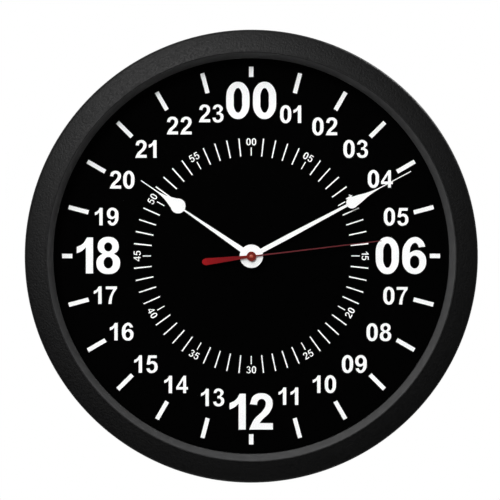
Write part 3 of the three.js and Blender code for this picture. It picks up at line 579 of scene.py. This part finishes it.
# Limits of the bevel's painted light and of the side's matt finish with painted sheen on the ring
PAINTED_LIGHT_RADIUS = CREST - 0.45
PAINTED_LIGHT_FOOT = 36.1
MATT_AND_SHEEN_TOP = 38.05


def face_curve(start, stop, steps=10):
    """Points between the rim's round and the crest's: the face falls outwards, a little crowned."""
    points = []
    for i in range(1, steps):
        share = i / steps
        crown = FACE_CROWN * 4 * share * (1 - share)
        radius = start[0] + (stop[0] - start[0]) * share
        height = start[1] + (stop[1] - start[1]) * share + crown
        points.append((radius, height))
    return points


def add_ring():
    rim_round = rounded(RIM - RIM_ROUND, RIM_SHOULDER, RIM_ROUND, 0, RIM_LEAVE, 12)
    crest_round = rounded(CREST, CREST_MIDDLE, CREST_ROUND, CREST_MEET, CREST_LEAVE, 8)
    profile = [
        (WALL_BORE, 0.0),
        (RIM_FOOT - FOOT_EDGE, 0.0),
        (RIM_FOOT, FOOT_EDGE),
        *rim_round,
        *face_curve(rim_round[-1], crest_round[0]),
        *crest_round,
        (SIGHT, SIGHT_TOP),
        (SIGHT, GLASS_TOP + SIGHT_EDGE),
        (SIGHT + SIGHT_EDGE, GLASS_TOP),
        (WELL, GLASS_TOP),
        (WELL, WELL_FOOT),
        (WELL_WALL, WELL_FOOT),
        (WELL_WALL, HOLLOW_TOP),
        (WALL_BORE, RIM_SHOULDER),
        (WALL_BORE, 0.0),
    ]
    ring = turned("ring", profile)
    dress(ring, RING_BLACK, "case", "case_black", "bezel_ring")
    ring.data.materials.append(BEVEL_PAINTED_LIGHTER)
    ring.data.materials.append(SIDE_MATT_PAINTED_SHEEN)
    # The bevel's faces get the plastic painted lighter as painted light, the side's the matt plastic with
    # a painted sheen
    for face in ring.data.polygons:
        x, y, z = face.center
        if math.hypot(x, z) < PAINTED_LIGHT_RADIUS * MM and -y > PAINTED_LIGHT_FOOT * MM:
            face.material_index = 1
        elif -y < MATT_AND_SHEEN_TOP * MM:
            face.material_index = 2


def add_spacer():
    profile = [
        (SPACER_BORE, DIAL_TOP),
        (PLATE, DIAL_TOP),
        (PLATE, GLASS_FOOT),
        (SPACER_BORE, GLASS_FOOT),
        (SPACER_BORE, DIAL_TOP),
    ]
    dress(turned("spacer", profile), DIAL_BLACK, "case", "dial_black", "dial_spacer")


def add_glass():
    profile = [
        (PLATE - GLASS_EDGE, GLASS_FOOT),
        (PLATE, GLASS_FOOT + GLASS_EDGE),
        (PLATE, GLASS_TOP - GLASS_EDGE),
        (PLATE - GLASS_EDGE, GLASS_TOP),
    ]
    dress(turned("glass", profile, solid=True), CLEAR, "case", "lens_clear", "lens")


def add_dial():
    plate = flat("dial", [circle(PLATE, sides=SMOOTH), circle(BUSH_HOLE)], DIAL_FOOT, DIAL_TOP)
    dress(plate, DIAL_BLACK, "case", "dial_black", "dial_plate")


# Printed marks: places on the dial, angles clockwise from 00

INK_LOW = DIAL_TOP - 0.01
INK_HIGH = DIAL_TOP + 0.03
INK_TRIM = 0.1

DEGREES_PER_HOUR = 15
DEGREES_PER_MINUTE = 6

# Inner end, outer end and width
HOUR_MARK = (95.25, 107.05, 2.62)
QUARTER_MARK = (101.15, 107.15, 2.7)
MINUTE_MARK = (56.55, 66.85, 0.9)
FIVE_MARK = (56.65, 61.55, 0.75)


def mark(inner, outer, width, angle):
    """One straight mark as a loop."""
    turn = math.radians(angle)
    along = (math.sin(turn), math.cos(turn))
    across = (math.cos(turn), -math.sin(turn))
    half = width / 2
    corners = [(inner, -half), (outer, -half), (outer, half), (inner, half)]
    return [(r * along[0] + s * across[0], r * along[1] + s * across[1]) for r, s in corners]


def add_marks():
    hours = []
    for hour in range(24):
        size = HOUR_MARK if hour % 6 else QUARTER_MARK
        hours.append(mark(*size, hour * DEGREES_PER_HOUR))
    minutes = []
    for minute in range(60):
        size = MINUTE_MARK if minute % 5 else FIVE_MARK
        minutes.append(mark(*size, minute * DEGREES_PER_MINUTE))
    for name, loops in (("hour_marks", hours), ("minute_marks", minutes)):
        dress(flat(name, loops, INK_LOW, INK_HIGH, trim=INK_TRIM), PRINT_WHITE, "case")


# Digits on a grid, from the baseline up. A third value of 1 marks a corner.
GRID = 100
ZERO_OUT = [
    (32.7, 101.5, 0), (55, 90, 0), (65, 50, 0), (55, 10, 0),
    (32.7, -1.5, 0), (10, 10, 0), (0, 50, 0), (10, 90, 0),
]
ZERO_IN = [
    (32.7, 83.5, 0), (41, 75, 0), (43.7, 50, 0), (41, 25, 0),
    (32.7, 16.8, 0), (24.4, 25, 0), (21.5, 50, 0), (24.4, 75, 0),
]
SIX_OUT = [
    (64.3, 74.2, 1), (57, 90, 0), (35.5, 101.5, 0), (8.5, 84, 0), (0, 48.5, 0), (8, 12.5, 0),
    (34.5, -1.5, 0), (57.5, 8.5, 0), (67, 33, 0), (59.5, 56, 0), (40, 65.2, 0), (21.3, 58.6, 1),
    (25, 76, 0), (35, 84.3, 0), (42, 80.5, 0), (45.3, 71.8, 1),
]
SIX_IN = [
    (34.2, 49.6, 0), (43.5, 44.5, 0), (46.8, 32.8, 0), (43.3, 20, 0),
    (34.5, 15, 0), (25.3, 20.5, 0), (21.9, 33.8, 0), (25.2, 44.5, 0),
]


def half_turned(loop, width):
    """A loop of the six turned upside down for the nine."""
    return [(width - x, GRID - y, corner) for x, y, corner in loop]


# Each digit's width and its loops
DIGITS = {
    "0": (65, [ZERO_OUT, ZERO_IN]),
    "1": (45.7, [[
        (45.7, 100, 1), (45.7, 0, 1), (25, 0, 1), (25, 71, 1), (14, 61.5, 0), (0, 55.5, 1),
        (0, 73.8, 1), (17, 83, 0), (28.5, 100, 1),
    ]]),
    "2": (66.5, [[
        (0, 0, 1), (66.5, 0, 1), (66.5, 18.8, 1), (30, 18.8, 1), (38, 28.5, 0), (58, 48.5, 0),
        (66, 72, 0), (57.5, 93, 0), (35, 101.3, 0), (12, 93.5, 0), (2, 70.5, 1), (22.5, 68, 1),
        (26, 80, 0), (35, 84.5, 0), (43, 81, 0), (46, 71.3, 0), (40, 56, 0), (14, 29, 0),
    ]]),
    "3": (64.5, [[
        (2, 73.5, 1), (10.5, 93, 0), (31, 101.5, 0), (53, 92.5, 0), (61, 76, 0), (47, 54.6, 1),
        (60, 46, 0), (64.5, 29, 0), (56, 8, 0), (31.5, -1.5, 0), (9.5, 6.5, 0), (0, 26, 1),
        (19, 28.6, 1), (22.8, 18.5, 0), (31.8, 14.5, 0), (41.6, 18.7, 0), (45.4, 30.3, 0),
        (41.5, 40.5, 0), (32.5, 44.3, 0), (23.3, 42.8, 1), (25.3, 58.8, 1), (37, 61.8, 0),
        (41.2, 72, 0), (38.4, 81.5, 0), (30.8, 85.3, 0), (23.5, 81.8, 0), (20.4, 74.5, 1),
    ]]),
    "4": (67.5, [
        [
            (38.5, 0, 1), (38.5, 20, 1), (0, 20, 1), (0, 36.5, 1), (41, 100, 1), (57, 100, 1),
            (57, 36.5, 1), (67.5, 36.5, 1), (67.5, 20, 1), (57, 20, 1), (57, 0, 1),
        ],
        [(38.5, 36.5, 1), (38.5, 70.5, 1), (16.3, 36.5, 1)],
    ]),
    "5": (65.5, [[
        (12, 100, 1), (61, 100, 1), (61, 82.5, 1), (26.5, 82.5, 1), (23.5, 65, 1), (36, 67.7, 0),
        (57, 58.5, 0), (65.5, 34, 0), (58.5, 11.5, 0), (31.5, -1.5, 0), (9.7, 6, 0), (0, 26, 1),
        (19.8, 28, 1), (23.7, 18.6, 0), (32.2, 14.6, 0), (41.7, 19.5, 0), (45.5, 33.5, 0),
        (41.8, 47, 0), (31.5, 51.8, 0), (17.7, 44.8, 1), (1.8, 47.2, 1),
    ]]),
    "6": (67, [SIX_OUT, SIX_IN]),
    "7": (64.5, [[
        (0, 100, 1), (64.5, 100, 1), (64.5, 86, 1), (47.5, 62, 0), (37, 31, 0), (33.5, 0, 1),
        (14, 0, 1), (19.5, 32.5, 0), (41.5, 82.3, 1), (0, 82.3, 1),
    ]]),
    "8": (66, [
        [
            (33, 101.5, 0), (55, 93.5, 0), (62.5, 75.3, 0), (58.5, 61.5, 0), (49.5, 54.6, 1),
            (61.5, 45.5, 0), (66, 28.5, 0), (57.5, 7, 0), (33.3, -1.5, 0), (8.5, 7, 0),
            (0, 28, 0), (4.7, 45, 0), (16.5, 54.6, 1), (7.5, 61.5, 0), (3.5, 75.3, 0),
            (11, 93.5, 0),
        ],
        [
            (33, 85.3, 0), (40.5, 81.8, 0), (43.5, 73.6, 0), (40.3, 65.3, 0), (33, 61.6, 0),
            (25.5, 65.3, 0), (22.5, 73.6, 0), (25.5, 81.8, 0),
        ],
        [
            (33, 45.6, 0), (41.7, 41, 0), (45.3, 30.2, 0), (42, 19.5, 0), (33.3, 14.7, 0),
            (24.3, 19.5, 0), (20.8, 30, 0), (24.3, 41, 0),
        ],
    ]),
    "9": (67, [half_turned(SIX_OUT, 67), half_turned(SIX_IN, 67)]),
}

# Each hour's middle on the dial
HOUR_PLACES = [
    (0.0, 88.0), (22.3, 80.2), (41.6, 73.3), (59.1, 60.6), (73.1, 43.6), (82.1, 22.2),
    (84.9, 0.2), (81.8, -22.6), (72.4, -43.3), (58.5, -61.4), (41.5, -72.8), (21.1, -79.6),
    (0.0, -88.4), (-21.9, -80.3), (-42.6, -72.9), (-59.7, -61.3), (-73.4, -42.9), (-82.6, -22.2),
    (-86.5, 0.3), (-81.8, 22.3), (-73.1, 43.1), (-59.6, 60.5), (-40.8, 73.7), (-22.7, 80.6),
]
MINUTE_CIRCLE = 64.6

# Heights of the digits, and the gaps between them
QUARTER_HEIGHT = 20.6
HOUR_HEIGHT = 10.1
MINUTE_HEIGHT = 4.15
QUARTER_GAP = 1.7
HOUR_GAP = 1.0
GAP_AFTER_ONE = 2.2
MINUTE_GAP = 0.4


def digit_shapes(height):
    """Each digit at a height, about its own middle, on the dial's surface."""
    scale = height / GRID
    shapes = {}
    for digit, (width, loops) in DIGITS.items():
        placed = []
        for loop in loops:
            placed.append([
                ((x - width / 2) * scale, (y - GRID / 2) * scale, corner) for x, y, corner in loop
            ])
        shapes[digit] = flat("digit_" + digit, placed, INK_LOW, INK_HIGH, trim=INK_TRIM)
    return shapes


def written(shapes, text, height, gap):
    """The digits of a number side by side about the middle of the dial."""
    widths = [DIGITS[digit][0] * height / GRID for digit in text]
    left = -(sum(widths) + gap * (len(text) - 1)) / 2
    parts = []
    for digit, width in zip(text, widths):
        parts.append(moved(copied(shapes[digit], "part"), x=left + width / 2))
        left += width + gap
    return joined("number", parts)


def add_numbers():
    quarter = digit_shapes(QUARTER_HEIGHT)
    hourly = digit_shapes(HOUR_HEIGHT)
    small = digit_shapes(MINUTE_HEIGHT)
    hours = []
    for hour, place in enumerate(HOUR_PLACES):
        text = f"{hour:02d}"
        if hour % 6 == 0:
            number = written(quarter, text, QUARTER_HEIGHT, QUARTER_GAP)
        else:
            gap = GAP_AFTER_ONE if text[0] == "1" else HOUR_GAP
            number = written(hourly, text, HOUR_HEIGHT, gap)
        hours.append(moved(number, *place))
    minutes = []
    for minute in range(0, 60, 5):
        number = written(small, f"{minute:02d}", MINUTE_HEIGHT, MINUTE_GAP)
        angle = minute * DEGREES_PER_MINUTE
        outward = minute <= 15 or minute >= 45
        moved(number, 0, MINUTE_CIRCLE if outward else -MINUTE_CIRCLE)
        minutes.append(moved(number, turn=angle if outward else angle + 180))
    dress(joined("hour_numbers", hours), PRINT_WHITE, "case")
    dress(joined("minute_numbers", minutes), PRINT_WHITE, "case")
    for shape in [*quarter.values(), *hourly.values(), *small.values()]:
        bpy.data.objects.remove(shape)


# Hands: half widths across, distances from the axis and heights from the wall

HOUR_ANGLE = 304.45
MINUTE_ANGLE = 62.0
SECOND_ANGLE = 83.2
HOUR_LEVELS = (26.7, 27.3)
MINUTE_LEVELS = (28.7, 29.3)
SECOND_LEVELS = (30.9, 31.5)
HOUR_BORE = 2.62
MINUTE_BORE = 1.72
SECOND_BORE = 1.06
WHITE_EDGE = 0.07
WHITE_TRIM = 0.2
RED_EDGE = 0.06


def spade(hub, root, bend, neck, lobe, needle):
    """A spade hand that points to 00: hub, stem, lobe and needle up one side, then mirrored.

    The stem is root wide at the hub and neck wide at the lobe, with the bend's points between. The
    lobe is its radius, its middle and the angle about it at which the needle begins.
    """
    radius, middle, leave = lobe
    meet = math.degrees(math.acos(root / hub))
    enter = math.degrees(math.asin(neck / radius))
    around = rounded(0, 0, hub, -90, meet, 40)
    belly = rounded(0, middle, radius, enter - 90, leave - 90, 28)
    right = [*around, *bend, *belly, *needle]
    left = [(-x, y) for x, y in reversed(right)]
    return right + left[:-1]


def eased(points, steps=5):
    """Points on a soft curve through the given (half width, distance) points."""
    out = []
    for i, (a, b) in enumerate(zip(points, points[1:])):
        before = points[max(i - 1, 0)]
        after = points[min(i + 2, len(points) - 1)]
        for k in range(steps):
            t = k / steps
            out.append(tuple(through(*values, t) for values in zip(before, a, b, after)))
    return [*out, points[-1]]


def through(p, q, r, s, t):
    """The value at share t from q to r on a soft curve through four values."""
    return 0.5 * (
        2 * q + (r - p) * t + (2 * p - 5 * q + 4 * r - s) * t * t + (3 * q - p - 3 * r + s) * t**3
    )


def add_hands():
    needle = [(2.4, 55.6), (1.26, 59), (0.56, 63.6), (0.47, 67.5), (0.46, 71), (0.45, 75.7)]
    outline = spade(
        hub=5.4, root=1.7, bend=[], neck=0.64, lobe=(4.4, 50.1, 130), needle=eased(needle)
    )
    hour = flat("hour_spade", [outline, circle(HOUR_BORE)], *HOUR_LEVELS, WHITE_EDGE, WHITE_TRIM)
    dress(moved(hour, turn=HOUR_ANGLE), HAND_WHITE, "hours", "hand_white", "hour_hand")
    needle = [(2.4, 69.6), (1.25, 74.3), (0.54, 80.4), (0.46, 88), (0.46, 102.2)]
    outline = spade(
        hub=6.8, root=1.5, bend=[(1.5, 25)], neck=0.92, lobe=(3.45, 64.3, 115), needle=eased(needle)
    )
    loops = [outline, circle(MINUTE_BORE)]
    minute = flat("minute_spade", loops, *MINUTE_LEVELS, WHITE_EDGE, WHITE_TRIM)
    dress(moved(minute, turn=MINUTE_ANGLE), HAND_WHITE, "minutes", "hand_white", "minute_hand")
    add_second_hand()


def add_second_hand():
    hub = 2.7
    blade_root, blade_tip = 0.42, (0.24, 73.8)
    tail_root, tail_end = 0.75, (1.95, -26)
    meet = math.degrees(math.acos(blade_root / hub))
    leave = math.degrees(math.acos(tail_root / hub))
    end_round = rounded(0, -26.4, 1.6, 0, -90, 12)
    bottom = end_round[-1][1]
    hub_round = rounded(0, 0, hub, -leave, meet, 30)
    right = [*reversed(end_round[2:-1]), tail_end, *hub_round, blade_tip]
    left = [(-x, y) for x, y in reversed(right)]
    outline = [(0, bottom), *right, *left]
    sweep = flat("sweep_hand", [outline, circle(SECOND_BORE, sides=48)], *SECOND_LEVELS, RED_EDGE)
    dress(moved(sweep, turn=SECOND_ANGLE), HAND_RED, "seconds", "hand_red", "second_hand")
    profile = [
        (0.65, 29.9), (1.4, 29.9), (1.5, 30.0), (1.5, 30.9), (1.0, 30.9), (1.0, 31.62),
        *rounded(0, 31.1, 0.8, 60, 85, 3),
    ]
    rivet = turned("sweep_rivet", profile, sides=64, solid=True)
    dress(rivet, HUB_RED, "seconds", "hand_red", "second_hand_hub")


# Back: heights from the wall

# Screws and their holes
SCREW_CIRCLE = 120.0
SCREW_COUNT = 6
SCREW_HOLE = 1.7

# Rear cover with the frame round the window, its beads and ribs
COVER_RADIUS = 123.3
COVER_LEVELS = (2.6, 5.0)
COVER_EDGE = 0.25
FRAME_LEVELS = (4.9, 9.0)
FRAME_EDGE = 0.2
BEAD_LEVELS = (2.2, 2.8)
SHEET_BEAD = (113.0, 111.4)
SHEET_BEAD_LEVELS = (2.3, 2.8)
RIB_COUNT = 8
RIB_REACH = (29.6, 108.0)
RIB_HALF = 0.8
RIB_LEVELS = (4.9, 8.5)
TRIM_EDGE = 0.15

# Keyhole
KEYHOLE_MIDDLE = 82.0
KEYHOLE_ENTRY = 5.0
SLOT_HALF = 2.5
SLOT_FLAT_HALF = 1.3
SLOT_TOP = 94.0

# Movement: left, low, right and high side, and its corners
MOVEMENT_BOX = (-28, -29, 28, 27)
MOVEMENT_CORNER = 3
SIGN_LEVELS = (4.75, 5.1)
SIGN_EDGE = 0.08

# Battery: its axis, where its pale band starts and where its steel ends do, from its middle
CELL_HEIGHT = 12.2
CELL_BELOW_AXIS = 20.45
BAND_START = 9.0
CELL_ENDS = (-24.6, 23.2)


def screw_places():
    """The middles of the ring's bosses."""
    step = 360 / SCREW_COUNT
    return [spot(0, 0, SCREW_CIRCLE, step * i) for i in range(SCREW_COUNT)]


def add_screws():
    """A pan head with a cross recess over a plain shank, once for each boss."""
    profile = [
        (2.2, 1.1), (2.75, 1.22), (3.1, 1.6), (3.2, 2.0),
        (3.2, 2.6), (1.4, 2.6), (1.4, 15.6), (0.3, 17.0),
    ]
    screw = turned("screw", profile, sides=64, solid=True)
    cut_out(screw, flat("recess", [cross(1.75, 0.4)], 0.5, 2.2))
    close_up(screw)
    for number, place in enumerate(screw_places(), start=1):
        piece = moved(copied(screw, f"screw_{number}"), *place)
        dress(piece, STEEL, "case", "screw_steel", f"case_screw_{number}")
    bpy.data.objects.remove(screw)


def keyhole(margin=0.0):
    """The keyhole's outline: a round entry below, a slot above it and a flat-topped end."""
    entry = KEYHOLE_ENTRY + margin
    half = SLOT_HALF + margin
    flat_half = SLOT_FLAT_HALF + margin / 2
    top = SLOT_TOP + margin
    corner = top - (half - flat_half)
    leave = 90 - math.degrees(math.asin(half / entry))
    around = rounded(0, KEYHOLE_MIDDLE, entry, leave, leave - 360 + 2 * (90 - leave), 36)
    return [*around, (-half, corner), (-flat_half, top), (flat_half, top), (half, corner)]


def rounded_box(left, low, right, high, corner):
    corners = ((right, high, 0), (left, high, 90), (left, low, 180), (right, low, 270))
    loop = []
    for x, y, start in corners:
        inward_x = corner if x == left else -corner
        inward_y = corner if y == low else -corner
        loop += rounded(x + inward_x, y + inward_y, corner, start, start + 90, 8)
    return loop


def window(margin):
    """The movement's outline with a margin around it."""
    left, low, right, high = MOVEMENT_BOX
    corner = MOVEMENT_CORNER + margin
    return rounded_box(left - margin, low - margin, right + margin, high + margin, corner)


def add_cover():
    holes = [circle(SCREW_HOLE, at=place, sides=32) for place in screw_places()]
    rim = circle(COVER_RADIUS, sides=SMOOTH)
    rings = [circle(radius, sides=SMOOTH) for radius in SHEET_BEAD]
    parts = [
        flat("sheet", [rim, window(0.7), keyhole(), *holes], *COVER_LEVELS, COVER_EDGE),
        flat("frame", [window(2.5), window(0.7)], *FRAME_LEVELS, FRAME_EDGE),
        flat("window_bead", [window(2.4), window(0.8)], *BEAD_LEVELS, TRIM_EDGE),
        flat("keyhole_bead", [keyhole(2.0), keyhole(0.15)], *BEAD_LEVELS, TRIM_EDGE),
        flat("sheet_bead", rings, *SHEET_BEAD_LEVELS, TRIM_EDGE),
    ]
    start, stop = RIB_REACH
    bar = [(start, -RIB_HALF), (stop, -RIB_HALF), (stop, RIB_HALF), (start, RIB_HALF)]
    rib = flat("rib", [bar], *RIB_LEVELS, TRIM_EDGE)
    for i in range(RIB_COUNT):
        parts.append(moved(copied(rib, "rib_copy"), turn=360 / RIB_COUNT * (i + 0.5)))
    bpy.data.objects.remove(rib)
    dress(joined("cover", parts), COVER_BLACK, "case", "case_black", "rear_cover")


def softened(name, node, width):
    """A copy of a solid from the frame with its edges slightly broken."""
    piece = bpy.data.objects.new(name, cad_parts[node].data.copy())
    bpy.context.scene.collection.objects.link(piece)
    pick(piece)
    bpy.ops.object.mode_set(mode="EDIT")
    bpy.ops.mesh.select_all(action="SELECT")
    bpy.ops.mesh.remove_doubles(threshold=1e-6)
    bpy.ops.mesh.dissolve_limited(angle_limit=math.radians(0.5))
    bpy.ops.object.mode_set(mode="OBJECT")
    edge = piece.modifiers.new("edge", "BEVEL")
    edge.width = width * MM
    edge.segments = 2
    edge.limit_method = "ANGLE"
    edge.angle_limit = math.radians(40)
    bpy.ops.object.modifier_apply(modifier="edge")
    close_up(piece, crease=20)
    return piece


def add_movement():
    pieces = (
        ("housing", "movement_housing", 0.2, MOVEMENT_BLACK, "case", "movement_black"),
        ("lid", "movement_lid", 0.2, MOVEMENT_BLACK, "case", "movement_black"),
        ("knob", "setting_knob", 0.15, MOVEMENT_BLACK, "setting", "movement_black"),
        ("leaf_right", "contact_positive", 0.08, STEEL, "case", "contact_steel"),
        ("leaf_left", "contact_negative", 0.08, STEEL, "case", "contact_steel"),
        ("nut", "dial_nut", 0.25, BRASS, "case", "brass"),
    )
    for name, node, edge, material, body, slot in pieces:
        dress(softened(name, node, edge), material, body, slot, node)
    add_lid_marks()
    add_battery()


def add_lid_marks():
    """Raised signs on the lid: a double arrow about the knob, plus and minus above the battery."""
    knob = (10.32, 7.23)
    inner, outer = 6.6, 7.5
    start, stop = 30, 150
    ear, point = 1.1, 18
    middle = (inner + outer) / 2
    bow = [
        *rounded(*knob, outer, start, stop, 20),
        spot(*knob, outer + ear, stop),
        spot(*knob, middle, stop + point),
        spot(*knob, inner - ear, stop),
        *rounded(*knob, inner, stop, start, 20),
        spot(*knob, inner - ear, start),
        spot(*knob, middle, start - point),
        spot(*knob, outer + ear, start),
    ]
    reach, half = 2.0, 0.4
    aside, level = 21, -9.6
    plus = cross(reach, half, aside, level)
    bar = ((reach, half), (-reach, half), (-reach, -half), (reach, -half))
    minus = [(x - aside, z + level) for x, z in bar]
    signs = flat("lid_marks", [bow, plus, minus], *SIGN_LEVELS, SIGN_EDGE)
    dress(signs, MARK_GREY, "case")


def add_battery():
    """A plain cell along X: steel ends, a blue sleeve and a pale band at the raised end."""
    profile = [
        (5.6, -25.25), (5.9, -25.15), (6.3, -25.0), (6.6, -24.7), (6.95, -24.5), (7.1, -24.3),
        (7.1, BAND_START), (7.1, 23.0), (6.95, 23.3), (6.5, 23.6), (6.1, 23.95), (2.75, 23.95),
        (2.75, 24.95), (2.45, 25.25),
    ]
    cell = turned("cell", profile, sides=96, solid=True)
    place = Matrix.Translation((0, -CELL_HEIGHT * MM, -CELL_BELOW_AXIS * MM))
    cell.matrix_world = place @ Matrix.Rotation(math.pi / 2, 4, "Z")
    settle(cell)
    dress(cell, SLEEVE_BLUE, "battery", "battery_wrap", "battery_cell")
    cell.data.materials.append(SLEEVE_PALE)
    cell.data.materials.append(STEEL)
    low_end, high_end = CELL_ENDS
    for face in cell.data.polygons:
        along = face.center.x / MM
        if along > high_end or along < low_end:
            face.material_index = 2
        elif along > BAND_START:
            face.material_index = 1


def paint_nodes():
    """Paint for the solids that keep their own shape."""
    finishes = {
        "dial_retainer": COVER_BLACK, "gear_bridge": MOVEMENT_BLACK, "coil_bobbin": MOVEMENT_BLACK,
        "clock_chip": MOVEMENT_BLACK, "centre_bush": BRASS, "dial_washer": COVER_BLACK,
        "minute_tube": BRASS, "dial_gasket": RUBBER_BLACK, "stator": IRON, "coil_core": IRON,
        "coil_winding": COPPER, "rotor": MAGNET_GREY, "circuit_board": BOARD_GREEN,
        "quartz_crystal": STEEL, "fifth_wheel": NYLON, "seconds_wheel": NYLON,
        "third_wheel": NYLON, "centre_wheel": NYLON, "minute_wheel": NYLON, "hour_wheel": NYLON,
    }
    for name, material in finishes.items():
        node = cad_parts[name]
        node.data.materials.clear()
        node.data.materials.append(material)


add_camera()
add_world()
add_lamp("key", (-0.336, -1.508, 0.525), 0.5, 22.0)
add_lamp("top", (-0.517, -0.841, 1.156), 1.1, 12.0)
add_lamp("back", (0.95, 0.75, 1.05), 0.3, 20.0)
add_ground()
add_ring()
add_spacer()
add_glass()
add_dial()
add_marks()
add_numbers()
add_hands()
add_screws()
add_cover()
add_movement()
paint_nodes()

scene = bpy.context.scene
scene.view_settings.view_transform = "Standard"
